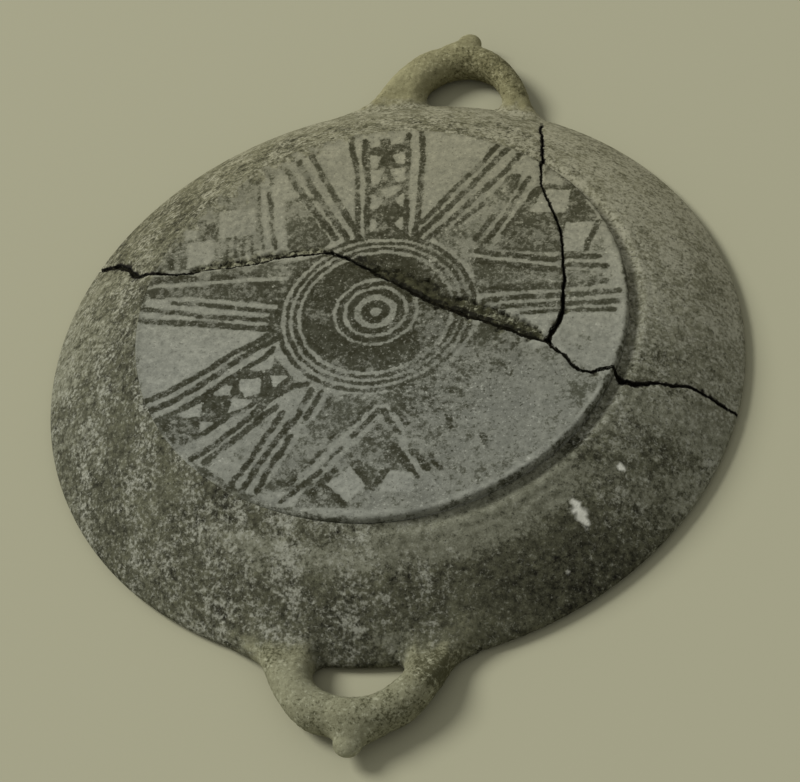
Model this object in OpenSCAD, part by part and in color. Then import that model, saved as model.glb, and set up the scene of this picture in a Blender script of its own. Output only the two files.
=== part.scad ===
// Two-handled painted pottery dish, broken into three sherds and mended.
// It lies face down on its rim, with the painted disc foot up. Millimetres.
// Origin: on the resting surface, at the centre of the rim. +Z is up, out of the foot.
// The two loop handles point along +Y and -Y.

/* [Dish] */
// Diameter over the rim
rim_d = 300; // [260:1:340]
// Height from the resting rim to the face of the foot
dish_h = 37.5; // [34:0.5:48]
// Thickness of the wall
wall_t = 6.5; // [5:0.1:8]
// Thickness of the floor under the foot
floor_t = 6.5; // [5:0.1:8]
// Swell of the wall beyond a straight cone
wall_bulge = 2.2; // [1:0.1:4]
// Width of the worn flat that the rim rests on
rim_flat = 3; // [2:0.1:4]

/* [Foot] */
// Diameter of the disc foot
foot_d = 208; // [180:1:220]
// Height that the foot stands proud of the floor
foot_h = 4.5; // [3:0.1:6]
// Radius of the rounded edge of the foot
foot_edge_r = 1.5; // [0.8:0.1:2.5]
// Width of the shoulder around the foot
shoulder_w = 5; // [3:0.5:9]

/* [Handles] */
// Thickness of the rolled handle
handle_d = 15; // [12:0.5:18]
// Radius of the loop, to the middle of the roll
loop_r = 25; // [20:0.5:32]
// Sideways place of both handles, off the middle of the dish
handle_shift = 10; // [0:0.5:15]
// Gap between a handle and the resting surface
handle_lift = 0.6; // [0.3:0.1:4]
// How far the loop's centre lies inside the rim
handle_inset = 1; // [0:0.5:4]
// Reach of a nipple beyond the crown of its handle
nipple_l = 10; // [6:0.5:14]
// Radius of a nipple at its root
nipple_root_r = 7.4; // [5:0.1:8]
// Radius of a nipple at its tip
nipple_tip_r = 3.8; // [2:0.1:4.5]

/* [Luting collars] */
// Length of a collar along the handle leg, into the wall
collar_l = 30; // [26:0.5:36]
// Growth in radius of a collar over its length
collar_spread = 5; // [3:0.5:6]
// Thickness of a collar at its thin end
collar_edge = 1; // [0.6:0.1:1.5]
// Outward lean of a collar
collar_lean = 12; // [6:1:18]

/* [Breaks] */
// Width of the mended breaks
break_w = 0.8; // [0.6:0.1:1.4]
// Depth of the adhesive below the surface
join_recess = 0.8; // [0.4:0.1:1.6]
// Width of the flake lost from the foot beside the main break
flake_w = 5; // [2:0.5:8]
// Depth of that flake
flake_d = 1.8; // [0.8:0.1:2.4]

/* [Fits] */
// Clearance of a luted piece to what it is luted to
lute_gap = 0.1; // [0.05:0.05:0.3]
// Clearance of the adhesive to each sherd
join_gap = 0.05; // [0.02:0.01:0.1]

/* [Hidden] */

$fn = 96;
// Facets along one curve of a profile
curve_steps = 8;
// Half the side of the square that the sherds are cut from, past every handle
reach = 400;
// Smallest radius of a rounded edge
least_edge = 0.05;

rim_r = rim_d / 2;
foot_r = foot_d / 2;
seat_z = dish_h - foot_h;
handle_r = handle_d / 2;
handle_z = handle_r + handle_lift;
// Where the taper of a nipple meets its round tip
tip_angle = 25;
// A leg runs far enough into the wall to be cut by it all round
leg_l = handle_d * 1.2;
loop_y = rim_r - handle_inset;

// The breaks, seen from above the foot. They meet at one point and run out past the rim.
meet = [73, -14];
break_left = [[-190, 76], [-122, 35], [-112, 22], [-82, 21], [-56, 28], [-27, 32], [-12, 26],
    [10, 13], [30, 3], [46, -4], [60, -9]];
break_right = [[88, -29], [100, -26], [106, -31], [128, -23], [210, -28]];
break_side = [[75, -3], [76, 20], [71, 48], [61, 70], [58, 98], [43, 213]];
main_break = concat(break_left, [meet], break_right);
// The flake lies on the upper side of the main break, from its first to its last point
flake_from = 7;
flake_to = 11;

// Points of an arc about c with radius r, from angle a0 to a1
function arc(c, r, a0, a1, steps = curve_steps) =
    [for (i = [0:steps]) let (a = a0 + (a1 - a0) * i / steps) c + r * [cos(a), sin(a)]];

function reversed(list) = [for (i = [len(list) - 1:-1:0]) list[i]];

function unit(v) = v / norm(v);

// Normal on the left of the stretch from p to q
function left_of(p, q) = let (d = unit(q - p)) [-d[1], d[0]];

// A break line moved to its left by w, with mitred corners
function moved(line, w) = [for (i = [0:len(line) - 1])
    let (
        before = i == 0 ? left_of(line[0], line[1]) : left_of(line[i - 1], line[i]),
        after = i == len(line) - 1 ? before : left_of(line[i], line[i + 1]),
        half = unit(before + after)
    ) line[i] + half * w / (half * before)];

// The middle surface of the wall is an arc from the shoulder to the middle of the lip
lip_z = sqrt(pow(wall_t / 2, 2) - pow(rim_flat / 2, 2));
shoulder = [foot_r + shoulder_w, seat_z - wall_t / 2];
lip = [rim_r - wall_t / 2, lip_z];
chord = lip - shoulder;
wall_r = (pow(norm(chord) / 2, 2) + pow(wall_bulge, 2)) / (2 * wall_bulge);
wall_c = (shoulder + lip) / 2 + (wall_r - wall_bulge) * unit([chord[1], -chord[0]]);
lip_angle = atan2(lip[1] - wall_c[1], lip[0] - wall_c[0]);

// Angle at which a circle about the wall's centre reaches height z
function angle_at(r, z) = asin((z - wall_c[1]) / r);

// Outer edge of the wall, grown by g, from height z down to the lip
function outer_edge(g, z) =
    let (r = wall_r + wall_t / 2 + g) arc(wall_c, r, angle_at(r, z), lip_angle);

function inner_edge(g, z) =
    let (r = wall_r - wall_t / 2 - g) arc(wall_c, r, lip_angle, angle_at(r, z));

// The lip below the wall, grown by g: round to its flat, and round again to the inside
function lip_edge(g) =
    let (r = wall_t / 2 + g, side = asin(rim_flat / 2 / r))
    concat(arc(lip, r, lip_angle, side - 90), arc(lip, r, -90 - side, lip_angle - 180));

// Section of the dish without its foot, grown by g
function dish_section(g) = concat(
    [[0, seat_z + g]],
    outer_edge(g, seat_z + g),
    lip_edge(g),
    inner_edge(g, seat_z - floor_t - g),
    [[0, seat_z - floor_t - g]]);

// Section of everything inside the outer face of the dish, grown by g
function full_section(g) = concat(
    [[0, seat_z + g]],
    outer_edge(g, seat_z + g),
    arc(lip, wall_t / 2 + g, lip_angle, 0),
    [[rim_r + g, -rim_r], [0, -rim_r]]);

// Section of the disc foot, grown by g, down to height z
function foot_section(g, z) =
    let (edge_r = max(foot_edge_r + g, least_edge))
    concat(
        [[0, z], [foot_r + g, z]],
        arc([foot_r + g - edge_r, dish_h + g - edge_r], edge_r, 0, 90),
        [[0, dish_h + g]]);

// What lies on one side of a break line, as a prism through the dish
module beside(line, corners) {
    translate([0, 0, -reach / 2]) linear_extrude(reach) polygon(concat(line, corners));
}

module lower_side() {
    beside(moved(main_break, -break_w / 2), [[reach, -reach], [-reach, -reach]]);
}

module upper_left_side() {
    line = concat(break_left, [meet], break_side);
    beside(moved(line, break_w / 2), [[-reach, reach]]);
}

module right_side() {
    line = concat(reversed(break_side), [meet], break_right);
    beside(moved(line, break_w / 2), [[reach, reach]]);
}

module dish(g = 0) {
    rotate_extrude() polygon(dish_section(g));
}

module dish_outside(g) {
    rotate_extrude() polygon(full_section(g));
}

module foot() {
    rotate_extrude() polygon(foot_section(0, seat_z));
}

// The shallow flake that the foot has lost beside the main break
module flake() {
    line = [for (i = [flake_from:flake_to]) main_break[i]];
    edge = moved(line, flake_w);
    last = len(line) - 1;
    outline = concat([line[0]], [for (i = [1:last - 1]) edge[i]], reversed([for (i = [1:last]) line[i]]));
    translate([0, 0, dish_h - flake_d]) linear_extrude(2 * flake_d)
        polygon(concat(outline, moved(line, -break_w)));
}

module wall_lower() {
    color("#6e6a55") intersection() {
        dish();
        lower_side();
    }
}

module wall_upper_left() {
    color("#76725d") intersection() {
        dish();
        upper_left_side();
    }
}

module wall_right() {
    color("#67634f") intersection() {
        dish();
        right_side();
    }
}

module foot_lower() {
    color("#a39d83") intersection() {
        foot();
        lower_side();
    }
}

module foot_upper_left() {
    color("#aaa48a") difference() {
        intersection() {
            foot();
            upper_left_side();
        }
        flake();
    }
}

module foot_right() {
    color("#9c967c") intersection() {
        foot();
        right_side();
    }
}

// Puts a piece of a handle in its place: end is 1 for the upper handle and -1 for the lower one
module at_handle(end) {
    translate([handle_shift, end * loop_y, handle_z]) mirror([0, end < 0 ? 1 : 0, 0]) children();
}

// The rolled loop with its two legs, grown by g, still running on into the wall
module loop(g = 0) {
    rotate_extrude(angle = 180) translate([loop_r, 0]) circle(r = handle_r + g);
    for (side = [-1, 1])
        translate([side * loop_r, 0, 0]) rotate([90, 0, 0]) cylinder(h = leg_l, r = handle_r + g);
}

module handle(end) {
    difference() {
        at_handle(end) loop();
        dish_outside(lute_gap);
    }
}

// A nipple stands on the crown of the loop, out along the handle
module nipple(end) {
    crown = handle_r + nipple_l;
    tip = arc([0, crown - nipple_tip_r], nipple_tip_r, tip_angle, 90);
    at_handle(end) difference() {
        translate([0, loop_r, 0]) rotate([-90, 0, 0])
            rotate_extrude() polygon(concat([[0, 0], [nipple_root_r, 0]], tip));
        loop(lute_gap);
    }
}

// A flared collar of clay around the leg on one side: -1 left, 1 right
module collar(end, side) {
    thin_r = handle_r + collar_edge;
    difference() {
        at_handle(end) difference() {
            translate([side * loop_r, handle_r, 0]) rotate([90, 0, side * collar_lean])
                cylinder(h = collar_l, r1 = thin_r, r2 = thin_r + collar_spread);
            loop(lute_gap);
            translate([-reach / 2, -reach / 2, -reach - handle_z + handle_lift]) cube(reach);
        }
        dish_outside(lute_gap);
    }
}

module handle_upper() {
    color("#7d7862") handle(1);
}

module handle_lower() {
    color("#857f67") handle(-1);
}

module nipple_upper() {
    color("#96907a") nipple(1);
}

module nipple_lower() {
    color("#9a947d") nipple(-1);
}

module collar_upper_left() {
    color("#75705b") collar(1, -1);
}

module collar_upper_right() {
    color("#75705b") collar(1, 1);
}

module collar_lower_left() {
    color("#79745e") collar(-1, -1);
}

module collar_lower_right() {
    color("#79745e") collar(-1, 1);
}

// The mended dish shrunk by the recess, from which the adhesive is cut
module joined_body() {
    dish(-join_recess);
    rotate_extrude() polygon(foot_section(-join_recess, seat_z - floor_t / 2));
}

// A strip along a break line, as wide as the adhesive
module strip(line) {
    w = break_w / 2 - join_gap;
    beside(moved(line, w), reversed(moved(line, -w)));
}

module join_main() {
    color("#3b392e") intersection() {
        joined_body();
        strip(main_break);
    }
}

module join_side() {
    color("#3b392e") difference() {
        intersection() {
            joined_body();
            strip(concat([meet], break_side));
        }
        beside(moved(main_break, break_w / 2), [[reach, -reach], [-reach, -reach]]);
    }
}

wall_lower();
wall_upper_left();
wall_right();
foot_lower();
foot_upper_left();
foot_right();
handle_upper();
handle_lower();
nipple_upper();
nipple_lower();
collar_upper_left();
collar_upper_right();
collar_lower_left();
collar_lower_right();
join_main();
join_side();
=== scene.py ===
import math
import bmesh
import bpy
import numpy as np
from mathutils import Matrix, Vector
from mathutils.geometry import delaunay_2d_cdt
from mathutils.kdtree import KDTree


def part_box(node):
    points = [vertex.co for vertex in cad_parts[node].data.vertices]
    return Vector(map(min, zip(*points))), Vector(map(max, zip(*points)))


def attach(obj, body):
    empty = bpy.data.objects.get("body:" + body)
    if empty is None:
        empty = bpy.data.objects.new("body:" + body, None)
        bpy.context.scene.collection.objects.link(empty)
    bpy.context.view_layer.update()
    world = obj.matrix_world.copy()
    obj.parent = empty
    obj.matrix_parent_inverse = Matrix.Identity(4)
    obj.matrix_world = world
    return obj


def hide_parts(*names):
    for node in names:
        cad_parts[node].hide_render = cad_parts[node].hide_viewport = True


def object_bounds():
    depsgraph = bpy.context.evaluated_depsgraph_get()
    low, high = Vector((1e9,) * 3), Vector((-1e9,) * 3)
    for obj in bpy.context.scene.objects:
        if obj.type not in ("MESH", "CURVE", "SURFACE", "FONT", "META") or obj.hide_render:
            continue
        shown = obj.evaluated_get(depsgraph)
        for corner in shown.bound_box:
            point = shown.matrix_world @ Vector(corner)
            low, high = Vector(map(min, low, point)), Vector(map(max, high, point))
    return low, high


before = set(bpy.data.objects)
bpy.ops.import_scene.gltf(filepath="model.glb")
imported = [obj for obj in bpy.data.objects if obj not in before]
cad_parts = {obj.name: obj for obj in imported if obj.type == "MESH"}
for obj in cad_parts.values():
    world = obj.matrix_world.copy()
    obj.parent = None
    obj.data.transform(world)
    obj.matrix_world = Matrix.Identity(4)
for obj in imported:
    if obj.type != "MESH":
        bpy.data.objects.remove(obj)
cadLow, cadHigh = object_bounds()

# Shapes are worked out in millimetres and go to Blender in metres
mm = 0.001
footLow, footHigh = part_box("foot_lower")
handleLow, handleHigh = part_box("handle_upper")
rimR = min(-cadLow.x, cadHigh.x) / mm
tipY = cadHigh.y / mm  # reach of the nipples
footR = -footLow.x / mm
footTopZ = footHigh.z / mm
seatZ = footLow.z / mm  # the foot sits on the wall here
print(f"frame: rim {rimR:.1f}, foot {footR:.1f}, foot top {footTopZ:.1f}, seat {seatZ:.1f} mm")


# Small tools

def smooth(t):
    t = np.clip(t, 0.0, 1.0)
    return t * t * (3 - 2 * t)


def ripple(x, y, wave, seed, waves=12):
    # seeded smooth unevenness, mostly between -1 and 1, with bumps about one wave long
    dice = np.random.default_rng(seed)
    total = np.zeros_like(np.asarray(x, float))
    for turn, shift, stretch in dice.uniform(0, 1, (waves, 3)):
        pull = 2 * math.pi / (wave * (0.6 + stretch))
        turn = turn * 2 * math.pi
        total += np.sin(pull * (x * math.cos(turn) + y * math.sin(turn)) + shift * 2 * math.pi)
    return total / math.sqrt(2 * waves)


def rippleAlong(run, wave, seed):
    # the same along a line
    return ripple(run, 0 * run, wave, seed)


def bell(value, middle, reach):
    return np.exp(-((value - middle) / reach) ** 2)


def spotShare(x, y, cx, cy, reach):
    # 1 at a place in plan, fading away over its reach
    return np.exp(-((x - cx) ** 2 + (y - cy) ** 2) / reach ** 2)


def turnOf(x, y):
    return np.degrees(np.arctan2(y, x))


def turnedFrame(x, y, cx, cy, turn):
    # distances along and across a line through a place, turned by so many degrees
    turn = math.radians(turn)
    along = (x - cx) * math.cos(turn) + (y - cy) * math.sin(turn)
    across = (y - cy) * math.cos(turn) - (x - cx) * math.sin(turn)
    return along, across


def segmentDistance(x, y, start, end):
    dx, dy = end[0] - start[0], end[1] - start[1]
    along = ((x - start[0]) * dx + (y - start[1]) * dy) / max(dx * dx + dy * dy, 1e-9)
    along = np.clip(along, 0, 1)
    return np.hypot(x - start[0] - along * dx, y - start[1] - along * dy)


def lineDistance(x, y, points):
    best = np.full(np.shape(x), 1e9)
    for start, end in zip(points, points[1:]):
        best = np.minimum(best, segmentDistance(x, y, start, end))
    return best


def insideLoop(x, y, loop):
    inside = np.zeros(np.shape(x), bool)
    for (x0, y0), (x1, y1) in zip(loop, list(loop[1:]) + [loop[0]]):
        if y0 == y1:
            continue
        crosses = (y0 > y) != (y1 > y)
        inside ^= crosses & (x < (x1 - x0) * (y - y0) / (y1 - y0) + x0)
    return inside


def insideDepth(x, y, loop):
    # distance to the loop's edge, positive inside
    depth = lineDistance(x, y, list(loop) + [loop[0]])
    return np.where(insideLoop(x, y, loop), depth, -depth)


def newPiece(name, spots, faces, replaced, material, sharp=38):
    mesh = bpy.data.meshes.new(name)
    mesh.from_pydata([tuple(p) for p in np.asarray(spots) * mm], [], faces)
    mesh.validate()
    mesh.shade_smooth()
    mesh.set_sharp_from_angle(angle=math.radians(sharp))
    piece = bpy.data.objects.new(name, mesh)
    bpy.context.scene.collection.objects.link(piece)
    mesh.materials.append(material)
    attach(piece, "root")
    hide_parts(*replaced)
    return piece


def addValues(piece, **layers):
    # named values at the corners, which the materials read
    for name, values in layers.items():
        layer = piece.data.attributes.new(name, "FLOAT", "POINT")
        layer.data.foreach_set("value", np.asarray(values, np.float32))


# The breaks: points of the line in plan, with the width of the gap there

breaks = {
    "main": [
        (-162, 61, 2.2), (-145, 50, 2.0), (-133, 42, 2.2), (-124, 36, 2.6), (-118, 30, 2.2),
        (-112.5, 23.5, 1.8), (-104, 20, 1.0), (-93, 19, 0.6), (-85, 20, 0.4), (-76, 22.5, 0.4),
        (-66, 24, 0.4), (-55, 26.5, 0.5), (-47, 29.5, 0.8), (-40.5, 30.5, 1.2), (-33, 31.5, 1.2),
        (-26, 32.5, 1.1), (-20.5, 30, 0.9), (-12, 25.5, 0.9), (-3.5, 20.5, 1.2), (4, 16.5, 1.6),
        (15, 9.5, 1.9), (21, 6.5, 2.1), (31, 2, 2.2), (45, -3.5, 2.1), (59.5, -9.5, 1.9),
        (72, -14.2, 1.5), (78, -20, 0.8), (86.5, -28.5, 0.8), (91, -29.5, 0.9), (99.5, -26, 1.4),
        (103.5, -30.5, 2.2), (108, -31, 1.6), (114, -28, 0.9), (130, -23, 0.8), (165, -27, 0.9),
    ],
    "side": [
        (49, 165, 0.5), (52.5, 130, 0.5), (54.5, 118, 0.6), (58, 98, 0.8), (59.5, 86, 0.9),
        (60, 78, 0.4), (61, 70.5, 0.4), (66.5, 57.5, 0.5), (71, 47.5, 0.6), (73.5, 35, 0.6),
        (76, 18, 0.9), (76.5, 5, 1.2), (76.5, -2.5, 1.9), (73.5, -10, 1.9), (72, -14.2, 1.5),
    ],
    "meet": (72, -14.2),
    "step": 0.8,
    "jag": 0.3,  # how far the edges wander from the line
    "seed": 11,
    # chips knocked out of the edges: place, reach and depth
    "chips": [
        (-120, 34.5, 3.2, 1.2), (-113, 22, 2.8, 1.1), (-99, 20.5, 2.2, 0.8), (-82, 22.6, 2.0, 0.9),
        (-76, 24.8, 2.4, 1.0), (-70, 26.0, 2.6, 1.1), (-64, 26.8, 2.4, 1.0), (-58, 28.6, 2.8, 1.1),
        (-52, 30.0, 2.4, 1.0), (-46, 31.8, 1.8, 0.8), (-36, 33.0, 1.6, 0.7), (-27, 30.5, 1.6, 0.8),
        (-14, 24.5, 1.8, 0.8), (12, 9.2, 2.0, 0.9), (24, 3.4, 2.2, 1.0), (38, -2.6, 2.4, 1.0),
        (52, -8.4, 2.4, 1.0), (64, -12.6, 2.2, 0.9), (59.5, 87, 2.4, 1.1), (56.2, 108, 1.8, 0.9),
        (77.5, 2, 2.2, 1.0), (74.5, -5, 2.2, 1.0), (78, 12, 1.4, 0.7), (68, 54, 1.4, 0.7),
        (103, -29, 2.6, 1.2), (93, -30.5, 1.6, 0.8), (118, -26, 1.5, 0.7), (134, -22, 1.8, 0.9),
    ],
}


def resample(points, step):
    points = np.array(points, float)
    lengths = np.hypot(*np.diff(points[:, :2], axis=0).T)
    marks = np.concatenate([[0], np.cumsum(lengths)])
    spots = np.linspace(0, marks[-1], int(marks[-1] / step) + 1)
    return np.column_stack([np.interp(spots, marks, points[:, i]) for i in range(points.shape[1])])


def jagged(points, seed):
    # the fine run of a break: sharp little steps on top of the given line
    fine = resample(points, breaks["step"])
    reach = np.arange(len(fine)) * breaks["step"]
    still = smooth(np.minimum(reach, reach[::-1]) / 4)
    for axis in (0, 1):
        wander = 0.5 * rippleAlong(reach, 3, seed + axis) + 1.1 * rippleAlong(reach, 11, seed + 7 + axis)
        fine[:, axis] += breaks["jag"] * wander * still
    fine[:, 2] *= 1 + 0.3 * rippleAlong(reach, 6, seed + 20) * still
    fine[:, 2] = np.maximum(fine[:, 2], 0.4)
    return fine


mainLine = jagged(breaks["main"], breaks["seed"])
sideLine = jagged(breaks["side"], breaks["seed"] + 30)
meetAt = int(np.argmin(np.hypot(mainLine[:, 0] - breaks["meet"][0], mainLine[:, 1] - breaks["meet"][1])))
sideLine[-1, :2] = mainLine[meetAt, :2]

breakTree = KDTree(len(mainLine) + len(sideLine))
breakRun = np.concatenate([np.arange(len(mainLine)), 5000 + np.arange(len(sideLine))]) * breaks["step"]
breakGap = np.concatenate([mainLine[:, 2], sideLine[:, 2]])
for index, (bx, by) in enumerate(np.concatenate([mainLine[:, :2], sideLine[:, :2]])):
    breakTree.insert((bx, by, 0), index)
breakTree.balance()


def nearBreak(x, y):
    # distance from the edge of the nearest break, and how far along that break
    found = [breakTree.find((a, b, 0))[1:] for a, b in zip(x, y)]
    index = np.array([f[0] for f in found], int)
    away = np.array([f[1] for f in found])
    return away - breakGap[index] / 2, breakRun[index]


def shifted(line, side):
    # one edge of the gap: the line moved half the gap to its left (1) or right (-1)
    ahead = np.gradient(line[:, :2], axis=0)
    ahead /= np.maximum(np.hypot(*ahead.T), 1e-9)[:, None]
    half = (line[:, 2] / 2 * side)[:, None]
    moved = line[:, :2] + half * np.column_stack([-ahead[:, 1], ahead[:, 0]])
    clear = [np.hypot(*(line[:, :2] - p).T).min() > 0.8 * abs(h[0]) for p, h in zip(moved, half)]
    return moved[np.array(clear)]


def cutAt(line, radius):
    # the part of a line inside a circle, with its end exactly on the circle
    away = np.hypot(*line.T)
    inside = np.where(away < radius - 0.3)[0]
    first, last = inside[0], inside[-1]
    kept = [line[i] for i in range(first, last + 1)]
    for end, near in ((first - 1, 0), (last + 1, -1)):
        if 0 <= end < len(line) and away[end] > radius - 0.3:
            tip = line[end] * radius / away[end]
            kept.insert(0, tip) if near == 0 else kept.append(tip)
    return np.array(kept)


def rimArc(start, end, radius, pitch):
    # points on the circle from start to end, anticlockwise, without the two ends
    a0 = math.atan2(start[1], start[0])
    a1 = math.atan2(end[1], end[0])
    sweep = (a1 - a0) % (2 * math.pi)
    turns = a0 + np.linspace(0, sweep, int(sweep * radius / pitch) + 1)[1:-1]
    return np.column_stack([radius * np.cos(turns), radius * np.sin(turns)])


def sherdLoop(sherd, radius, pitch):
    # each sherd's outline in plan, anticlockwise
    if sherd == "lower":
        edge = cutAt(shifted(mainLine, -1), radius)[::-1]
        return np.concatenate([edge, rimArc(edge[-1], edge[0], radius, pitch)])
    if sherd == "upper_left":
        across = shifted(mainLine[: meetAt + 1], 1)
        up = shifted(sideLine, -1)[::-1]
    else:
        across = shifted(mainLine[meetAt:], 1)
        up = shifted(sideLine, 1)
    # near the meeting point the two edges cross, so each stops short of the other
    near = np.hypot(*(across - breaks["meet"]).T) > 1.5
    across = across[near]
    up = up[np.hypot(*(up - breaks["meet"]).T) > 1.7]
    if sherd == "upper_left":
        edge = cutAt(np.concatenate([across, up]), radius)
    else:
        edge = cutAt(np.concatenate([up, across]), radius)
    return np.concatenate([edge, rimArc(edge[-1], edge[0], radius, pitch)])


# Heights of the pot's surfaces over a point in plan

wallShape = {
    "arcR": 57.8, "arcZ": -82.2,  # centre of the wall's curve, in section
    "outer": 126.3, "inner": 119.8,
    "lipR": 146.75, "lipZ": 2.9, "lipRound": 3.25,
    "lipStart": 149.1, "lipInside": 144.4,
    "insideFloorZ": 26.5,
    "grooveR": 106.2, "grooveW": 2.2, "grooveD": 1.0, "grooveTurn": -10,
    "ledge": 4.2, "ledgeEnd": 113.0,  # clay smeared up against the foot, away from the groove
    "ridges": [(111.5, 0.3), (115.5, 0.25), (134.0, 0.2)], "ridgeW": 0.9,  # turning marks: radius and height
    "uneven": 0.55, "pitting": 0.12, "seed": 3,
}

footShape = {
    "edgeRound": 1.8, "uneven": 0.22, "pitting": 0.07, "wobble": 0.35, "seed": 5,
    # flaked scars along the main break: depth and outline
    "flakes": [
        (1.9, [
            (-8, 22.5), (-4, 24), (2, 23), (8, 22), (13, 19.5), (17, 18), (21, 16.5), (23.5, 13), (24.5, 10),
            (30, 8.5), (37, 8), (43, 5.5), (49, 3), (56, -0.5), (62, -3), (67, -6.5), (71, -10.5), (70, -14),
            (59, -10), (45, -4), (31, 1.5), (21, 6), (15, 9), (4, 16), (-3.5, 20),
        ]),
        (0.8, [
            (-86, 21), (-80, 24), (-74, 24.8), (-68, 27.2), (-60, 28), (-54, 31), (-47, 31.8), (-41, 34),
            (-33, 34.2), (-27, 34), (-26, 32.5), (-33, 31.5), (-40.5, 30.5), (-47, 29.5), (-55, 26.5),
            (-66, 24), (-76, 22.5),
        ]),
    ],
}


def arcHeight(r, radius):
    return wallShape["arcZ"] + np.sqrt(np.maximum(radius ** 2 - (r - wallShape["arcR"]) ** 2, 0))


def lipHeight(r, side):
    drop = np.sqrt(np.maximum(wallShape["lipRound"] ** 2 - (r - wallShape["lipR"]) ** 2, 0))
    return wallShape["lipZ"] + side * drop


def wallOuterZ(r):
    z = np.where(r > wallShape["lipStart"], lipHeight(r, 1), arcHeight(r, wallShape["outer"]))
    return np.minimum(z, seatZ)


def wallInnerZ(r):
    z = np.where(r > wallShape["lipInside"], lipHeight(r, -1), arcHeight(r, wallShape["inner"]))
    return np.clip(z, 0, wallShape["insideFloorZ"])


# crumbled edges: least and added width and depth, and how uneven they are
crumble = {"width": 0.6, "wider": 1.4, "depth": 0.3, "deeper": 0.6, "rough": 0.45, "seed": 21}


def edgeLoss(x, y):
    # crumbled edges and chips along the breaks
    away, run = nearBreak(x, y)
    width = crumble["width"] + crumble["wider"] * smooth(0.5 + rippleAlong(run, 9, crumble["seed"]))
    depth = crumble["depth"] + crumble["deeper"] * smooth(0.4 + rippleAlong(run, 5, crumble["seed"] + 1))
    loss = depth * smooth(1 - away / width)
    rough = 0.8 + crumble["rough"] * ripple(x, y, 1.8, crumble["seed"] + 2)
    return np.maximum(loss, chipLoss(x, y)) * rough


def chipLoss(x, y):
    loss = np.zeros_like(x)
    for cx, cy, reach, depth in breaks["chips"]:
        away = np.hypot(x - cx, y - cy) / reach
        loss = np.maximum(loss, depth * smooth(1.3 - away - 0.25 * ripple(x, y, 2.6, crumble["seed"] + 3)))
    return loss


def grooveShare(x, y):
    # the foot stands clear of the wall at the right and runs into it at the left
    turn = np.arctan2(y, x) - math.radians(wallShape["grooveTurn"])
    return smooth(0.38 + 0.8 * np.cos(turn))


def wallBodyZ(x, y):
    # the wall's outer side without its breaks
    r = np.hypot(x, y)
    z = wallOuterZ(r)
    clear = smooth((r - footR) / 4) * smooth((rimR - r) / 5)  # away from the foot and the lip
    share = grooveShare(x, y)
    z -= share * wallShape["grooveD"] * bell(r, wallShape["grooveR"], wallShape["grooveW"])
    ledge = smooth((wallShape["ledgeEnd"] - r) / (wallShape["ledgeEnd"] - footR))
    z += (1 - share) * wallShape["ledge"] * ledge * smooth((r - footR + 1.1) / 0.5)
    for ridgeR, height in wallShape["ridges"]:
        z += clear * height * bell(r, ridgeR, wallShape["ridgeW"])
    low = ripple(x, y, 45, wallShape["seed"]) - 1
    fine = ripple(x, y, 3.2, wallShape["seed"] + 1, 24)
    return z + clear * (wallShape["uneven"] * 0.5 * low + wallShape["pitting"] * fine)


def wallTopZ(x, y):
    return wallBodyZ(x, y) - edgeLoss(x, y) * smooth((rimR - np.hypot(x, y)) / 3)


def flakeEdge(x, y, outline):
    return insideDepth(x, y, outline) + 0.7 * ripple(x, y, 5, footShape["seed"] + 4)


def flakeScar(x, y, depths=False):
    # where the surface has flaked away, as a share or as a depth
    scar = np.zeros_like(x)
    for depth, outline in footShape["flakes"]:
        share = smooth(flakeEdge(x, y, outline) / 1.1 + 0.45)
        scar = np.maximum(scar, share * depth if depths else share)
    return scar


def footTopAt(x, y):
    r = np.hypot(x, y)
    share = grooveShare(x, y)
    rounding = footShape["edgeRound"] * (0.12 + 0.88 * share + 2.4 * share * (1 - share))
    over = np.clip(r - (footR - rounding), 0, rounding)
    z = footTopZ - rounding + np.sqrt(np.maximum(rounding ** 2 - over ** 2, 0))
    low = ripple(x, y, 38, footShape["seed"]) - 1
    fine = ripple(x, y, 2.4, footShape["seed"] + 1, 24)
    z += footShape["uneven"] * 0.5 * low + footShape["pitting"] * (fine - 1)
    rough = 1 + 0.4 * ripple(x, y, 6, footShape["seed"] + 2)
    rough += 0.14 * ripple(x, y, 3.2, footShape["seed"] + 3)
    z -= flakeScar(x, y, True) * rough
    return np.minimum(z - edgeLoss(x, y), footTopZ)


def gridPoints(radius, pitch, seed):
    # loose hexagonal spread of points inside a circle
    dice = np.random.default_rng(seed)
    rows = np.arange(-radius, radius, pitch * math.sqrt(3) / 2)
    spots = []
    for number, y in enumerate(rows):
        x = np.arange(-radius, radius, pitch) + (number % 2) * pitch / 2
        spots.append(np.column_stack([x, np.full_like(x, y)]))
    spots = np.concatenate(spots)
    spots += dice.uniform(-0.18, 0.18, spots.shape) * pitch
    return spots[np.hypot(*spots.T) < radius - pitch * 0.4]


def ringPoints(radii, pitch, seed):
    dice = np.random.default_rng(seed)
    spots = []
    for r in radii:
        count = max(6, int(2 * math.pi * r / pitch))
        turns = (np.arange(count) + dice.uniform()) * 2 * math.pi / count
        turns += dice.uniform(-0.15, 0.15, count) * pitch / r
        spots.append(np.column_stack([r * np.cos(turns), r * np.sin(turns)]))
    return np.concatenate(spots)


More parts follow.
